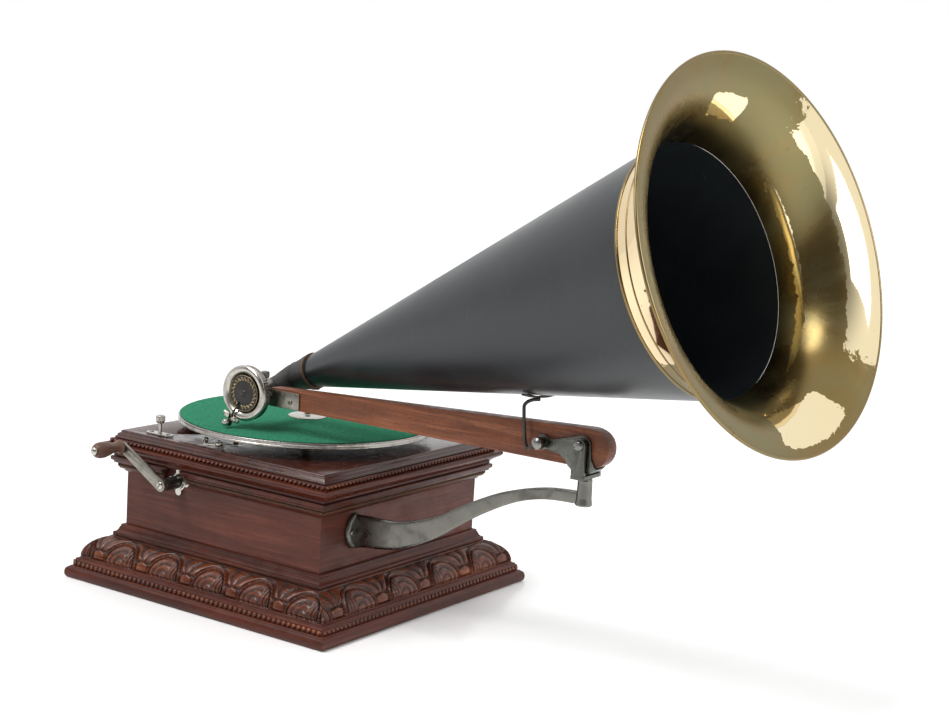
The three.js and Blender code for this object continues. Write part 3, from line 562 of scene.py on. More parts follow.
MAHOGANY = ((0.036, 0.0080, 0.0042), (0.082, 0.0155, 0.0070), (0.150, 0.033, 0.0130))
M = {
    "moulding": wood("mahogany_moulding", *MAHOGANY),
    "panel": wood("mahogany_panel", (0.070, 0.0185, 0.0115), (0.118, 0.0310, 0.0190), (0.165, 0.046, 0.0285),
                  rough=0.42),
    "rope": wood("worn_rope", (0.075, 0.033, 0.014), (0.130, 0.062, 0.027), (0.20, 0.105, 0.048), rough=0.4),
    "board": wood("mahogany_board", *MAHOGANY, along="X", rough=0.34),
    "carved": wood("mahogany_carved", (0.050, 0.0105, 0.0045), (0.125, 0.027, 0.0085), (0.290, 0.078, 0.0190),
                   rough=0.27, pores=0.25, gloss=0.42),
    "top": wood("mahogany_top", (0.030, 0.008, 0.005), (0.058, 0.0135, 0.0075), (0.092, 0.023, 0.012),
                along="X", rough=0.17, pores=0.25, gloss=0.5),
    "arm_wood": wood("arm_wood", (0.105, 0.034, 0.0165), (0.225, 0.072, 0.0290), (0.38, 0.140, 0.060),
                     along="Y", rough=0.4, pores=0.9),
    "handle": wood("handle_wood", (0.085, 0.040, 0.028), (0.15, 0.078, 0.055), (0.24, 0.15, 0.115), along="X",
                   rough=0.42, pores=0.7),
    "nickel": metal("nickel_plate", (0.50, 0.475, 0.43), (0.16, 0.14, 0.11), rough=0.2, patina=0.35),
    "nickel_dull": metal("nickel_dull", (0.27, 0.255, 0.22), (0.10, 0.095, 0.07), rough=0.3,
                         patina=0.6, scale=90),
    "platter": metal("platter_nickel", (0.38, 0.36, 0.33), (0.055, 0.05, 0.045), rough=0.24,
                     patina=0.35, scale=70),
    "casting": metal("casting", (0.135, 0.135, 0.12), (0.07, 0.07, 0.06), rough=0.34,
                     patina=0.5, pit=0.4, scale=110),
    "band": metal("bracket_band", (0.185, 0.18, 0.16), (0.10, 0.095, 0.08), rough=0.3,
                  patina=0.5, pit=0.3, scale=45, brushed=(500, 40, 1200)),
    "steel": metal("steel", (0.24, 0.235, 0.22), (0.10, 0.085, 0.07), rough=0.3, patina=0.4),
    "brass": metal("machined_brass", (0.72, 0.53, 0.25), (0.26, 0.17, 0.07), rough=0.24, patina=0.5),
    "old_brass": metal("old_brass", (0.36, 0.28, 0.15), (0.05, 0.04, 0.03), rough=0.4,
                       patina=0.7, pit=0.4, scale=160),
    "black": metal("blackened_metal", (0.035, 0.032, 0.030), (0.09, 0.075, 0.06), rough=0.38, patina=0.4,
                   metallic=0.6, scale=90),
    "wire": metal("blackened_wire", (0.07, 0.065, 0.06), (0.16, 0.13, 0.10), rough=0.33,
                  patina=0.5, metallic=0.9),
    "bell_in": brass_sheet("bell_inside", (0.90, 0.76, 0.48), (0.235, 0.160, 0.058), (0.215, 0.185, 0.088)),
    "bell_out": brass_sheet("bell_outside", (0.80, 0.64, 0.40), (0.25, 0.17, 0.07), (0.22, 0.175, 0.085)),
    "enamel": enamel("horn_enamel"),
    "felt": felt("green_felt"),
    "leather": leather("black_leather", (0.022, 0.020, 0.019), (0.045, 0.042, 0.039)),
    "pad": leather("brown_pad", (0.08, 0.045, 0.026), (0.15, 0.09, 0.05), 0.7),
}


# ---------- cabinet ----------
def cabinet():
    plinth = [(172.3, 0), (194.2, 0), (195.6, 1.2), (196.4, 4.2), (196.4, 7.5), (195.6, 10.2), (194, 12.2),
              (192.4, 12.8), (192.1, 13.6), (189.2, 14.3), (189, 20.8), (187.2, 21.3), (186.9, 23.1),
              (184.2, 23.6), (183.4, 25), (SHELL, 25), (SHELL, 8.3), (172.3, 8.3)]
    piece("plinth_moulding_fine", mitred(eased(plinth, 0.5)), "cabinet", "moulding", ("plinth_moulding",))
    piece("plinth_beads", bead_row(189, 17.5, 7.0, (3.1, 2.6, 2.7), 0.8), "cabinet", "carved")

    cap = [(SHELL, 51.2), (157.4, 51.2), (157.5, 55.7), (154.8, 56.5), (154.6, 57.0), (153.6, 57.8),
           (152.8, 59.6), (152.0, 61.4), (151.8, 62.2), (151, 62.6), (151, 64.6), (149.4, 65.4),
           (SHELL, 65.5)]
    piece("base_cap_fine", mitred(eased(cap, 0.35)), "cabinet", "moulding", ("base_cap_moulding",))

    ogee = smooth_line([(158.8, 150.8), (160.6, 152.6), (164.6, 155.2), (168.4, 157.6), (170.0, 160.0),
                        (169.7, 162.0), (168.6, 163.1)], 4)
    cornice = ([Vector((134.8, 147.6)), Vector((158.6, 147.6)), Vector((158.7, 150.2))] + ogee
               + [Vector((165.4, 163.4)), Vector((163.4, 163.9)), Vector((162.2, 164.3)),
                  Vector((162.2, 168.2)), Vector((134.8, 168.2))])
    piece("upper_cornice_fine", mitred(eased(cornice, 0.3)), "cabinet", "moulding", ("upper_cornice",))
    piece("cornice_beads", bead_row(162.2, 166.2, 6.3, (2.5, 2.6, 2.1)), "cabinet", "carved")

    refined("lower_cornice", "cabinet", "board", 0.35)
    piece("lower_rope", rope_row(154.9, 136.6, 3.6), "cabinet", "rope")
    refined("top_board", "cabinet", "top", 0.35)
    panel_thickness = 12
    face = SHELL - 0.3
    back = face - panel_thickness
    case = [(back, 8.3), (face, 8.3), (face, 147.3), (back, 147.3)]
    piece("case_veneered", mitred(case), "cabinet", "panel",
          ("front_panel", "back_panel", "right_panel", "crank_side_panel"))
    refined("bottom_board", "cabinet", "board", 0.5)


def rope_row(half_width, height, pitch):
    """Slanting lozenges like a twisted cord, laid round a square and broken at the crank's pocket."""
    crank = joint_at("crank_turn")
    shells = []
    crank_side, gap = 2, 16
    rings, around = 4, 8
    for side, outward, along, s, centre in row_places(half_width, height, pitch):
        if side == crank_side and abs(centre.y - crank.y) < gap:
            continue
        points, grain, shade_and_stain = [], [], []
        for a, tilt in dome_steps(rings, around):
            u, v = cos(a) * cos(tilt) * 1.55, sin(a) * cos(tilt) * 1.75
            p = along * (u + v * 0.55) + UP * v + outward * (2.0 * sin(tilt))
            points.append(centre + p)
            grain.append((s + side * SIDE_GRAIN + u, half_width, height + v))
            # Painted shade, darkest at the foot of each lozenge.
            shade_and_stain.append(max(0.0, 1 - 1.8 * sin(tilt)))
        layers = {"grain": grain, "shade_and_stain": shade_and_stain}
        shells.append((points, grid_faces(rings + 1, around, False, True), layers))
    return shells


# ---------- the carved moulding ----------
CARVE_BOTTOM, CARVE_REACH, CARVE_RISE, CARVE_SWEEP = 25.3, 33.2, 26, radians(78)
CARVE_STEPS = 44


def ridge(distance, width):
    """1 on a line, falling to 0 at width from it."""
    t = max(0.0, 1 - abs(distance) / width)
    return t * t * (3 - 2 * t)


def step_up(value, low, high):
    t = min(max((value - low) / (high - low), 0.0), 1.0)
    return t * t * (3 - 2 * t)


# For each side: the middle of its first arch, the distance between arches, and which way they lean.
ARCHES = {0: (-154.7, 69, -1), 1: (-113, 80, 1), 2: (154.7, -69, 1), 3: (-113, 80, -1)}


def carving(along, height, side):
    """Relief in millimetres, and how deep in shade, at a place on the moulding. Each arch holds folds of leaf
    that follow its rim on one flank and stand upright on the other; between two arches a fan of leaf stands
    over a plain tongue. height runs from 0 at the foot to 1 at the top."""
    first, pitch, lean_way = ARCHES[side]
    width = abs(pitch)
    v = height * 39
    cell = (along - first) / pitch + 0.5
    u = (cell - floor(cell) - 0.5) * pitch * lean_way
    half, top = width * 0.36, 32.5
    lean = u - 0.10 * v
    radial = hypot(lean / half, max(v - 1.5, 0) / top)
    ground = -2.9
    if radial < 1.0:
        upright = step_up(lean, half * 0.18, half * 0.42)
        arcs = abs(sin(pi * (radial * 3.3 + 0.12)))
        strokes = abs(sin(pi * (lean / 4.6 + 0.2 * sin(v * 0.18))))
        folds = (arcs * (1 - upright) + strokes * upright) ** 0.75
        eye = ridge(hypot(lean + half * 0.28, v - 15) - 1.2, 1.3)
        dome = 2.9 * max(1 - radial ** 2, 0) ** 0.5 * step_up(v, 0, 4)
        inner = ground + 0.4 + dome * 0.75 + folds * 1.75 - eye * 0.8
        rim = step_up(radial, 0.82, 0.88)
        crest = ground + 3.9 * ridge((radial - 0.93) * half, 2.0)
        shade = (1 - rim) * (0.75 * (1 - folds) ** 1.5 + 0.5 * eye) + 0.9 * ridge((radial - 0.83) * half, 1.4)
        return inner * (1 - rim) + crest * rim, min(shade, 1.0)
    beside = u - copysign(width / 2, u)
    outside = (radial - 1.0) * half
    tongue_half = width / 2 - half - 1.0
    swell = max(1 - (beside / tongue_half) ** 2, 0.0)
    tongue = 2.9 * step_up(v, 0.5, 2.5) * (1 - step_up(v + 0.35 * abs(beside), 13, 15)) * swell ** 0.4
    fan_angle = atan2(beside, max(v - 7, 0.5))
    blades = abs(cos(fan_angle * 5.0 + 0.25 * sin(v * 0.3))) ** 0.8
    spread = step_up(v, 13.5, 16.5) * (1 - step_up(v, 36, 39)) * step_up(outside, 0.8, 2.6)
    fan = spread * (1.0 + 2.1 * blades)
    near = ridge(outside, 1.6)
    shade = max(0.85 * near, spread * 0.75 * (1 - blades) ** 1.5, 0.9 * (1 - min(1, (tongue + fan) / 1.2)))
    return ground + max(tongue, fan, 0.0), min(shade, 1.0)


def carved_moulding():
    profile, heights = [], []
    for i in range(CARVE_STEPS + 1):
        a = CARVE_SWEEP * i / CARVE_STEPS
        profile.append((150.2 + CARVE_REACH * cos(a), CARVE_BOTTOM + CARVE_RISE * sin(a)))
        heights.append(i / CARVE_STEPS)

    def relief(along, row, side):
        w = profile[row][0]
        fade = step_up(w - abs(along), 0, 2.0)
        h, shade = carving(along, heights[row], side)
        tooth = 0.16 * noise.noise(Vector((along * 0.35, row * 0.4, 3.1)))
        edge = min(step_up(heights[row], 0, 0.03), 1 - step_up(heights[row], 0.97, 1))
        # The second value is painted shade, darkest in the grooves of the leaf and just inside the arches'
        # rims.
        return (h + tooth) * fade * edge, min(1.0, shade * 1.25) ** 0.6 * edge

    outer = mitred(profile, 421, relief, closed=False)
    back = [(SHELL, CARVE_BOTTOM), (183.4, CARVE_BOTTOM), profile[-1], (SHELL, profile[-1][1])]
    shells = outer + mitred([back[1], back[0], back[3], back[2]], 2, closed=False)
    piece("carved_moulding_fine", shells, "cabinet", "carved", ("carved_moulding",), 50)


# ---------- turntable ----------
def turntable():
    low, high = PLATTER_LOW.z, PLATTER_HIGH.z
    rim = PLATTER_HIGH.x
    profile = eased([(3.9, low), (20, low), (24, high - 2.4), (rim - 5, high - 2.4), (rim - 4, low),
                     (rim - 0.6, low), (rim, low + 0.8), (rim, low + 2.2), (rim - 0.6, low + 2.7),
                     (rim - 0.6, high - 1.6),
                     (rim, high - 1.0), (rim - 0.4, high), (3.9, high)], 0.25)
    points, faces, _ = turned(profile, 180, closed=True)
    # Painted shade: the underside and inner walls of the platter are marked to take the dark worn colour,
    # where shade falls under it.
    shade = [1.0 if hypot(p.x, p.y) < rim - 3 and p.z < high - 0.5 else 0.0 for p in points]
    piece("platter_turned", [(points, faces, {"shade_and_stain": shade})], "turntable", "platter", ("platter",), 40)
    felt_r = FELT_HIGH.x

    def nap(a, row):
        return 0.35 * noise.noise(Vector((cos(a) * 90, sin(a) * 90, row)))

    mat = [(3.9, FELT_LOW.z), (felt_r - 0.4, FELT_LOW.z), (felt_r, FELT_LOW.z + 0.4),
           (felt_r - 0.2, FELT_HIGH.z - 0.3), (felt_r - 1.2, FELT_HIGH.z), (felt_r - 20, FELT_HIGH.z),
           (30, FELT_HIGH.z), (3.9, FELT_HIGH.z)]
    piece("felt_disc", [turned(mat, 240, closed=True, relief=nap)], "turntable", "felt", ("felt_mat",), 60)
    z = node_box("centre_cap")[0].z
    cap = eased([(3.9, z), (22.8, z), (23, z + 0.5), (21, z + 1.2), (16, z + 1.7), (8, z + 1.9),
                 (6.9, z + 2.1), (6.4, z + 2.6), (3.9, z + 2.6)], 0.2)
    piece("centre_cap_turned", [turned(cap, 96, closed=True)], "turntable", "nickel", ("centre_cap",))


def controls():
    refined("speed_plate", "cabinet", "nickel", 0.4)
    speed = joint_at("speed_turn")
    z = TOP_Z
    knob = [(0, z - 9), (1.9, z - 9), (1.9, z + 12.4), (2.9, z + 13.2), (4.6, z + 14.4), (5.0, z + 15.8),
            (5.3, z + 16.4), (5.3, z + 17.5), (5.3, z + 20.5), (5.3, z + 21.8), (4.9, z + 22.6),
            (3.4, z + 23.2), (0, z + 23.4)]
    place = Matrix.Translation((speed.x, speed.y, 0))
    piece("speed_knob_turned", [turned(knob, 104, place, relief=knurl(0.32, 26, 6))], "speed", "nickel",
          ("speed_knob",), 40)
    for end in (-13, 13):
        spot = facing((speed.x, speed.y + end, TOP_Z + 1.4), (0, 0, 1))
        screw(f"speed_plate_screw_{'a' if end < 0 else 'b'}", "cabinet", spot, 2.5, 0.6, 0.6 + end)
    refined("brake_base", "cabinet", "nickel", 0.3)
    refined("brake_lever", "brake", "nickel", 0.35)
    refined("brake_pad", "brake", "pad", 0.5)


# ---------- crank ----------
def crank():
    refined("crank_escutcheon", "cabinet", "nickel", 0.5)
    refined("crank_shaft", "crank", "casting", 0.4)
    refined("crank_arm", "crank", "nickel_dull", 0.6)
    low, high = node_box("crank_handle")
    spot = joint_at("grip_spin")
    length = high.x - low.x
    shape = smooth_line([(7.2, 0), (8.1, 1.6), (7.8, 3.4), (6.6, 6), (6.0, 9.6), (6.6, 16), (8.2, 22),
                         (9.35, 29), (9.0, 35), (7.4, 39), (5.6, length)], 8)
    profile = [Vector((2.6, 0))] + shape + [Vector((2.6, length))]
    place = facing((high.x, spot.y, spot.z), (-1, 0, 0))
    piece("crank_grip_turned", [turned(profile, 64, place, closed=True)], "grip", "handle",
          ("crank_handle",), 40)
    refined("crank_handle_pin", "crank", "nickel", 0.3)
    strap = node_box("crank_arm")[0].x
    axis = joint_at("crank_turn")
    nut = facing((strap + 0.2, axis.y, axis.z), (-1, 0, 0))
    piece("crank_boss_screw", [screw_head(nut, 4.6, 1.3, 0.9, 1.1)], "crank", "nickel")


# ---------- horn support ----------
def bracket():
    middle = [(-152, 105, 38), (-166, 107, 36), (-188, 108.5, 34), (-212, 112, 31.5), (-238, 121, 28),
              (-263, 132.5, 24), (-285, 146, 21.5), (-308, 160, 19), (-337, 175, 16.4), (-362, 185, 13.4),
              (-385, 191.5, 12.6), (-408, 195, 13), (-438, 196.5, 13.6)]
    line = smooth_line(middle, 8)
    half = 3.5
    section = []
    for k in range(20):
        a = 2 * pi * (k + 0.5) / 20
        cx, cz = cos(a), sin(a)
        section.append((copysign(abs(cx) ** 0.45, cx), copysign(abs(cz) ** 0.28, cz)))
    points = []
    for y, z, tall in line:
        points += [Vector((ARM_X + sx * half, y, z + sz * tall / 2)) for sx, sz in section]
    faces = grid_faces(len(line), len(section), False, True)
    last = (len(line) - 1) * len(section)
    faces += [tuple(range(len(section))), tuple(range(last, last + len(section)))]
    face_y, foot_z = -SHELL, 105
    squash = Matrix.Diagonal((0.8, 1.03, 1, 1))
    foot_place = facing((ARM_X, face_y, foot_z), (0, -1, 0)) @ squash
    foot = turned(eased([(0, 0), (19.5, 0), (19.5, 2.6), (18.6, 4.4), (16.4, 6), (0, 6)], 0.6), 72,
                  foot_place)
    top = 217.9
    boss_place = Matrix.Translation((ARM_X, PIVOT.y, 0))
    low = top - 29
    boss = turned(eased([(0, low), (7.9, low), (9, low + 1.2), (8.9, low + 2.4), (8.0, low + 8),
                         (7.5, top - 4), (7.6, top - 2.6), (7.0, top), (4.6, top), (4.6, low + 4),
                         (0, low + 4)], 0.4), 48, boss_place)
    piece("horn_bracket_forged", [(points, faces, {}), foot, boss], "cabinet", "band",
          ("horn_bracket",), 42)
    for i, side in enumerate((-1, 1)):
        spot = facing((ARM_X + side * 9.6, face_y - 6.2, foot_z), (0, -1, 0))
        screw(f"bracket_screw_head_{i + 1}", "cabinet", spot, 3.9, 1.7, 0.5 + i,
              replaces=(f"bracket_screw_{i + 1}",))


def yoke():
    refined("yoke", "yoke_fork", "casting", 0.7)
    refined("yoke_pin", "yoke_fork", "steel", 0.3)
    head = node_box("yoke_pin")[0].x
    spot = facing((head + 1.4, PIVOT.y, PIVOT.z), (-1, 0, 0))
    screw("yoke_screw_head", "yoke_fork", spot, 4.9, 1.2, 0.35, 1.2)


def arm():
    refined("arm_bar", "arm", "arm_wood", 1.3, 40, 3)
    refined("saddle_casting", "arm", "casting", 1.0, 30, 3)
    refined("horn_rest_bolt", "arm", "steel", 0.4)
    refined("arm_ferrule", "arm", "nickel_dull", 0.5)
    wire = smooth_line([(-107.4, -384, 245.6), (-107.6, -381, 241), (-107.5, -378.5, 241.5),
                        (-107, -375.5, 247), (-107, -373.5, 262), (-106.5, -371.5, 278),
                        (-105.5, -371.5, 285), (-101, -376, 289.5), (-94, -382, 290.4)], 6)
    eye = turned([(3.4, -1.9), (6.2, -1.9), (6.5, 0), (6.2, 1.9), (3.4, 1.9)], 40,
                 facing((-107, BOLT_Y, BOLT_Z), (1, 0, 0)), closed=True)
    piece("horn_rest_wire", [tube(wire, 1.9, 14), eye, saddle_strip()], "arm", "wire", ("horn_rest",), 45)
    left = ARM_X - ARM_HALF - 1.9
    for i, (y, z) in enumerate(((-26, 241.8), (-56, 236.4))):
        spot = facing((left - 0.5, y, z), (-1, 0, 0))
        screw(f"ferrule_screw_{i + 1}", "arm", spot, 2.3, 0.7, 0.7 + i)


HORN_N = Vector((sin(HORN_YAW) * cos(HORN_PITCH), -cos(HORN_YAW) * cos(HORN_PITCH),
                 sin(HORN_PITCH)))
HORN_PLACE = facing(HORN_APEX, HORN_N)


def cone_radius(distance):
    return distance * HORN_SLOPE


def on_axis(distance):
    return HORN_APEX + HORN_N * distance


def saddle_strip():
    """A curved strip that cradles the cone from below."""
    at, half_width, spread = 429, 5, radians(19)
    rows, around = 4, 21
    points = []
    for reach, shift in ((1.0, -half_width), (1.0, half_width), (2.9, half_width), (2.9, -half_width)):
        for j in range(around):
            a = -pi / 2 + spread * (2 * j / (around - 1) - 1)
            r = cone_radius(at + shift) + reach
            points.append(HORN_PLACE @ polar(r, a, at + shift))
    faces = grid_faces(rows, around, True, False)
    faces += [tuple(k * around for k in range(rows)), tuple(k * around + around - 1 for k in range(rows))]
    return points, faces, {}


# ---------- soundbox ----------
def soundbox():
    place = facing((SOUNDBOX_X, NECK.y, NECK.z), (-1, 0, 0))
    case = [(6, -30), (9, -30), (9, -1), (9.6, 0), (27, 0), (30.2, 1.6), (31, 2.6), (31, 4), (31, 7),
            (31, 8.4), (30.4, 9), (27.6, 9), (27.6, 3.4), (6, 2.4)]
    piece("soundbox_case_turned", [turned(case, 240, place, True, knurl(0.22, 60, 6, -1.0))], "soundbox",
          "nickel_dull", ("soundbox_case",))
    ring = [(21.8, 9.3), (31.2, 9.3)] + [tuple(p) for p in smooth_line(
        [(31.9, 10.1), (31.6, 11.6), (30.2, 12.9), (28.2, 13.5), (26, 13.2), (24, 12.2), (22.6, 10.8)], 5)]
    piece("soundbox_ring_turned", [turned(ring, 120, place, True)], "soundbox", "nickel",
          ("soundbox_ring",), 45)
    disc = [(0, 7.4), (26.8, 7.4), (27, 7.8), (26.8, 8.6), (21, 8.6), (20.6, 8.2), (19, 8.0), (10, 7.95),
            (8.5, 8.2), (6, 8.6), (0, 8.6)]
    piece("diaphragm_disc", [turned(disc, 96, place)], "soundbox", "black", ("diaphragm",))

    low, high = node_box("needle")
    run = (low + high) / 2 - Vector((SOUNDBOX_X, NECK.y, NECK.z))
    run = Vector((0, run.y, run.z)).normalized()
    seen = place.inverted().to_3x3() @ run
    slot = atan2(seen.y, seen.x)
    cap = [(0, 10.9), (12.2, 10.9), (12.2, 11.7), (9, 11.9), (4.4, 12.0), (3.6, 12.3), (3.0, 13.0),
           (1.6, 13.5), (0, 13.6)]
    steps = 88
    slot_half, cover_back, cover_face = 7, 10.9, 11.6
    arc = [slot + radians(slot_half + (360 - 2 * slot_half) * i / (steps - 1)) for i in range(steps)]
    section = ((12.4, cover_back), (20.9, cover_back), (20.9, cover_face), (12.4, cover_face))
    leaf_ring = [place @ polar(r, a, z) for a in arc for r, z in section]
    faces = grid_faces(steps, 4, False, True) + [(0, 1, 2, 3), tuple(range(4 * steps - 4, 4 * steps))]
    piece("soundbox_cover", [turned(cap, 96, place), (leaf_ring, faces, {})], "soundbox", "black")

    edge_line = [place @ polar(20.45, a, 11.8) for a in arc]
    shells = [tube(edge_line, 0.35, 8)]
    leaves = ((16.4, 2.3, 0.85, 0.5), (15.2, 1.0, 0.7, -0.6), (18.0, 0.8, 0.7, 0.9))
    count = 22
    for k in range(count):
        a = turn(k, count)
        for reach, length, width, swing in leaves:
            if abs(remainder(a + swing * 0.12 - slot, 2 * pi)) < 0.2:
                continue
            centre = polar(reach, a + swing * 0.12, cover_face)
            radial = polar(1, a + swing, 0)
            across = Vector((-radial.y, radial.x, 0))
            points = []
            for t, tilt in dome_steps(3, 8):
                p = (centre + radial * (length * cos(t) * cos(tilt))
                     + across * (width * sin(t) * cos(tilt)) + UP * (0.55 * sin(tilt)))
                points.append(place @ p)
            shells.append((points, grid_faces(4, 8, False, True), {}))
    piece("soundbox_ornament", shells, "soundbox", "old_brass", (), 60)
    refined("stylus_mount", "soundbox", "nickel", 0.4)

    def on_bar(reach, height):
        return Vector((SOUNDBOX_X - height, NECK.y, NECK.z)) + run * reach

    bar = smooth_line([(0, 9.7), (9, 9.7), (16.5, 9.9), (19, 11.5), (20.2, 14.2), (22.5, 15.8),
                       (28, 16), (35.4, 16)], 5)
    sizes = [0.75 if p[0] < 18 else 1.15 for p in bar]
    chuck = [(35.2, 2.4), (35.6, 3.1), (37, 3.3), (41.6, 3.3), (42.2, 3.0), (42.6, 2.0)]
    piece("stylus_bar_forged", [tube([on_bar(*p) for p in bar], sizes, 14),
                                tube([on_bar(r, 16) for r, _ in chuck], [size for _, size in chuck], 24),
                                turned([(0, 8.9), (2.6, 8.9), (2.6, 10.4), (0, 10.5)], 20, place)],
          "stylus", "black", ("stylus_bar",), 45)
    refined("needle", "stylus", "steel", 0.05)
    refined("needle_screw", "needle_clamp", "nickel", 0.3)
    low, high = node_box("clamp_screw")
    centre = (low + high) / 2
    z = low.z
    clamp = [(0, z), (2, z), (2, z + 6), (4.4, z + 6.2), (4.8, z + 7.2), (4.8, z + 8.4), (4.8, z + 11),
             (4.8, z + 12), (4.3, z + 13.2), (2.4, z + 13.7), (0, high.z)]
    place = Matrix.Translation((centre.x, centre.y, 0))
    piece("clamp_screw_knurled", [turned(clamp, 88, place, relief=knurl(0.35, 22, 4))], "clamp", "steel",
          ("clamp_screw",), 40)


# ---------- horn ----------
def horn():
    wall = 1.1
    outside = [Vector((cone_radius(d), d)) for d in
               [CONE_START + (CONE_END - 1 - CONE_START) * i / 30 for i in range(31)]]
    inside = [Vector((p.x - wall, p.y + 0.2)) for p in reversed(outside)]
    piece("horn_cone_rolled", [turned(outside + inside, 224, HORN_PLACE, True)], "arm", "enamel",
          ("horn_cone",), 40)

    start = Vector((cone_radius(CONE_END), CONE_END))
    end = Vector((BELL_R - 2.2, BELL_END - 1.6))
    curve = bezier(start, start + Vector((7, 34)), end + Vector((-39.4, -7.8)), end, 48)
    inner = []
    for i, p in enumerate(curve):
        run = (curve[min(i + 1, len(curve) - 1)] - curve[max(i - 1, 0)]).normalized()
        inner.append(p + Vector((-run.y, run.x)) * 0.9)
    around = 256

    def worn(patches):
        """How far each point of the bell has been polished.
        A patch is (angle and spread in degrees, from and to along the flare)."""
        values = []
        for row in range(len(curve)):
            t = row / (len(curve) - 1)
            for j in range(around):
                a = turn(j, around)
                best = 0.0
                for middle, spread, low, high in patches:
                    off = abs(remainder(a - radians(middle), 2 * pi)) / radians(spread)
                    best = max(best, (1 - step_up(off, 0.75, 1.15)) * step_up(t, low - 0.06, low + 0.06)
                               * (1 - step_up(t, high, high + 0.08)))
                values.append(best)
        return {"polish": values}

    points, faces, _ = turned(curve, around, HORN_PLACE)
    outside_worn = worn([(170, 52, 0.0, 0.9), (-112, 20, 0.2, 1.2)])
    piece("bell_outside", [(points, faces, outside_worn)], "arm", "bell_out", ("horn_bell",), 60)
    points, faces, _ = turned(inner, around, HORN_PLACE)
    inside_worn = worn([(6, 46, 0.66, 1.3), (-80, 19, 0.52, 0.88), (84, 10, 0.42, 0.62),
                        (-8, 50, 0.17, 0.20)])
    piece("bell_inside", [(points, faces, inside_worn)], "arm", "bell_in", (), 60)
    roll_r = 1.9
    roll = oval(BELL_R - roll_r, BELL_END - roll_r, roll_r, roll_r, 14)
    seam = oval(start.x + 0.5, CONE_END + 0.4, 0.9, 1.7, 12)
    lap_at = curve[7]
    lap = oval(lap_at.x + 0.1, lap_at.y, 0.7, 0.9, 10)
    piece("bell_roll", [turned(roll, 256, HORN_PLACE, True), turned(seam, 224, HORN_PLACE, True),
                        turned(lap, 224, HORN_PLACE, True)],
          "arm", "bell_out", (), 60)


def elbow():
    """A leather hose from the soundbox's neck that widens into a cuff over the cone's small end."""
    start = Vector((SOUNDBOX_X + 27, NECK.y, NECK.z))
    end = on_axis(CONE_START - 2)
    curve = bezier(start, start + Vector((26, 0, 0)), end - HORN_N * 17, end, 40)
    cuff = [on_axis(CONE_START - 2 + (CUFF_END - CONE_START + 2) * (i + 1) / 16) for i in range(16)]
    path = curve + cuff
    around = 72
    points, shade_and_stain = [], []
    last = len(path) - 1
    radii = []
    for i in range(len(path)):
        if i <= 40:
            radii.append(11.4 + 3.6 * i / 40)
        else:
            radii.append(15.0 + (cone_radius(CUFF_END) + 2.2 - 15.0) * (i - 40) / 16)

    def frame_at(i):
        tangent = (path[min(i + 1, last)] - path[max(i - 1, 0)]).normalized()
        right = tangent.cross(UP).normalized()
        return right, right.cross(tangent)

    for i, centre in enumerate(path):
        right, up = frame_at(i)
        for j in range(around):
            a = turn(j, around)
            below = abs(remainder(a + pi / 2, 2 * pi))
            seam = ridge(below * radii[i], 2.6) * 1.5
            folds = 0.42 * noise.noise(Vector((i * 0.33, cos(a) * 1.6, sin(a) * 1.6))) * (i < 44)
            band = 0.8 * ridge(i - 41, 1.6) + (0.5 if i > 50 else 0)
            r = radii[i] + seam + folds + band
            points.append(spoke(centre, right, up, r, a))
            shade_and_stain.append(max(ridge(below * radii[i], 2.8), 1.0 if i == last else 0.0))

    def hoop(i, r):
        right, up = frame_at(i)
        return [spoke(path[i], right, up, r, turn(j, around)) for j in range(around)]

    points += hoop(last, cone_radius(CUFF_END) + 0.2)
    shade_and_stain += [1.0] * around
    mouth = hoop(0, 9.4)
    layers = {"shade_and_stain": [0.6] * around + shade_and_stain}
    shell = (mouth + points, grid_faces(len(path) + 2, around, False, True), layers)
    piece("leather_elbow_sewn", [shell], "arm", "leather", ("leather_elbow",), 60)


# ---------- motor, seen only when the case is open ----------
def inner_parts():
    finish = {
        "motor_bedplate": "casting", "motor_side_plate_outer": "steel", "motor_side_plate_inner": "steel",
        "winding_arbor": "steel", "ratchet_pawl": "steel", "spring_barrel": "brass", "mainspring": "black",
        "second_wheel": "brass", "turntable_spindle": "steel", "spindle_bush": "brass",
        "governor_frame": "casting", "governor_shaft": "steel", "governor_weight_1": "brass",
        "governor_weight_2": "brass", "governor_weight_3": "brass",
    }
    for node, key in finish.items():
        mesh = frame["nodes"][node].data
        mesh.materials.clear()
        mesh.materials.append(M[key])


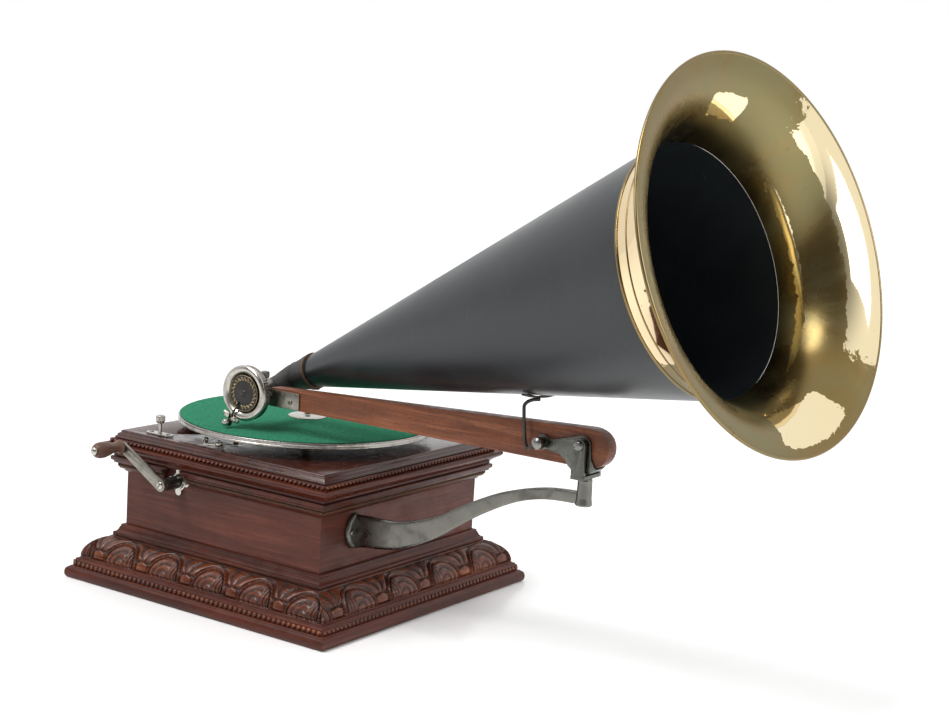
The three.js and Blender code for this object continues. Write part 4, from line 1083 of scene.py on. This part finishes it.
# ---------- floor, light and camera ----------
def stage():
    floor_mesh = bpy.data.meshes.new("floor")
    reach = 14
    corners = [(-reach, -reach, 0), (reach, -reach, 0), (reach, reach, 0), (-reach, reach, 0)]
    floor_mesh.from_pydata(corners, [], [(0, 1, 2, 3)])
    slab = in_scene("floor", floor_mesh)
    slab.location.z = min(0.0, cad_box[0].z) - 0.0002
    n = Nodes("pale_floor")
    grit = n.noise(n.place, 30, 3)
    floor_mesh.materials.append(n.surface(
        n.mix(grit, (0.93, 0.93, 0.93), (0.95, 0.95, 0.95)), n.ramp(grit, 0.3, 0.7, 0.16, 0.22),
        Specular_IOR_Level=0.25))

    world = bpy.data.worlds.new("studio")
    bpy.context.scene.world = world
    world.use_nodes = True
    tree = world.node_tree
    background = tree.nodes["Background"]
    background.inputs["Strength"].default_value = 1.0
    direction = tree.nodes.new("ShaderNodeTexCoord").outputs["Generated"]
    towards = tree.nodes.new("ShaderNodeVectorMath")
    towards.operation = "DOT_PRODUCT"
    towards.inputs[1].default_value = (-0.95, -0.26, 0.15)
    dim = tree.nodes.new("ShaderNodeMapRange")
    dim.interpolation_type = "SMOOTHSTEP"
    for key, value in (("From Min", 0.12), ("From Max", 0.85), ("To Min", 1.0), ("To Max", 0.17)):
        dim.inputs[key].default_value = value
    tree.links.new(direction, towards.inputs[0])
    tree.links.new(towards.outputs["Value"], dim.inputs["Value"])
    tree.links.new(dim.outputs["Result"], background.inputs["Color"])
    sun = bpy.data.lights.new("even_light", "SUN")
    sun.energy, sun.angle = 1.9, radians(30)
    lamp = in_scene("even_light", sun)
    lamp.rotation_euler = Vector((-0.42, 0.25, 0.87)).to_track_quat("Z", "Y").to_euler()

    def softbox(name, place, target, size, power):
        lamp = bpy.data.lights.new(name, "AREA")
        lamp.shape = "RECTANGLE"
        lamp.size, lamp.size_y = size
        lamp.energy = power
        obj = in_scene(name, lamp)
        obj.location = place
        obj.rotation_euler = (Vector(target) - Vector(place)).to_track_quat("-Z", "Y").to_euler()

    softbox("key_left", (-2.5, 0.6, 2.1), (0, -0.2, 0.15), (0.8, 0.8), 26)
    softbox("bell_front", (-0.2, -3.2, 1.5), (-0.1, -0.6, 0.45), (1.7, 1.3), 34)


def camera():
    azimuth, elevation, roll = radians(-55.9154), radians(9.1537), radians(3.6215)
    back = Vector((sin(azimuth) * cos(elevation), -cos(azimuth) * cos(elevation),
                   sin(elevation)))
    level = UP.cross(back).normalized()
    upright = back.cross(level)
    right = level * cos(roll) + upright * sin(roll)
    up = back.cross(right)
    data = bpy.data.cameras.new("camera")
    data.lens, data.sensor_width, data.sensor_fit = 68.97, 36, "HORIZONTAL"
    data.clip_start, data.clip_end = 0.05, 60
    obj = in_scene("camera", data)
    turned_to = Matrix((right, up, back)).transposed().to_4x4()
    obj.matrix_world = Matrix.Translation((-1.6512, -1.3525, 0.6202)) @ turned_to
    bpy.context.scene.camera = obj
    bpy.context.scene.view_settings.view_transform = "Standard"


cabinet()
carved_moulding()
turntable()
controls()
crank()
bracket()
yoke()
arm()
soundbox()
horn()
elbow()
inner_parts()
stage()
camera()
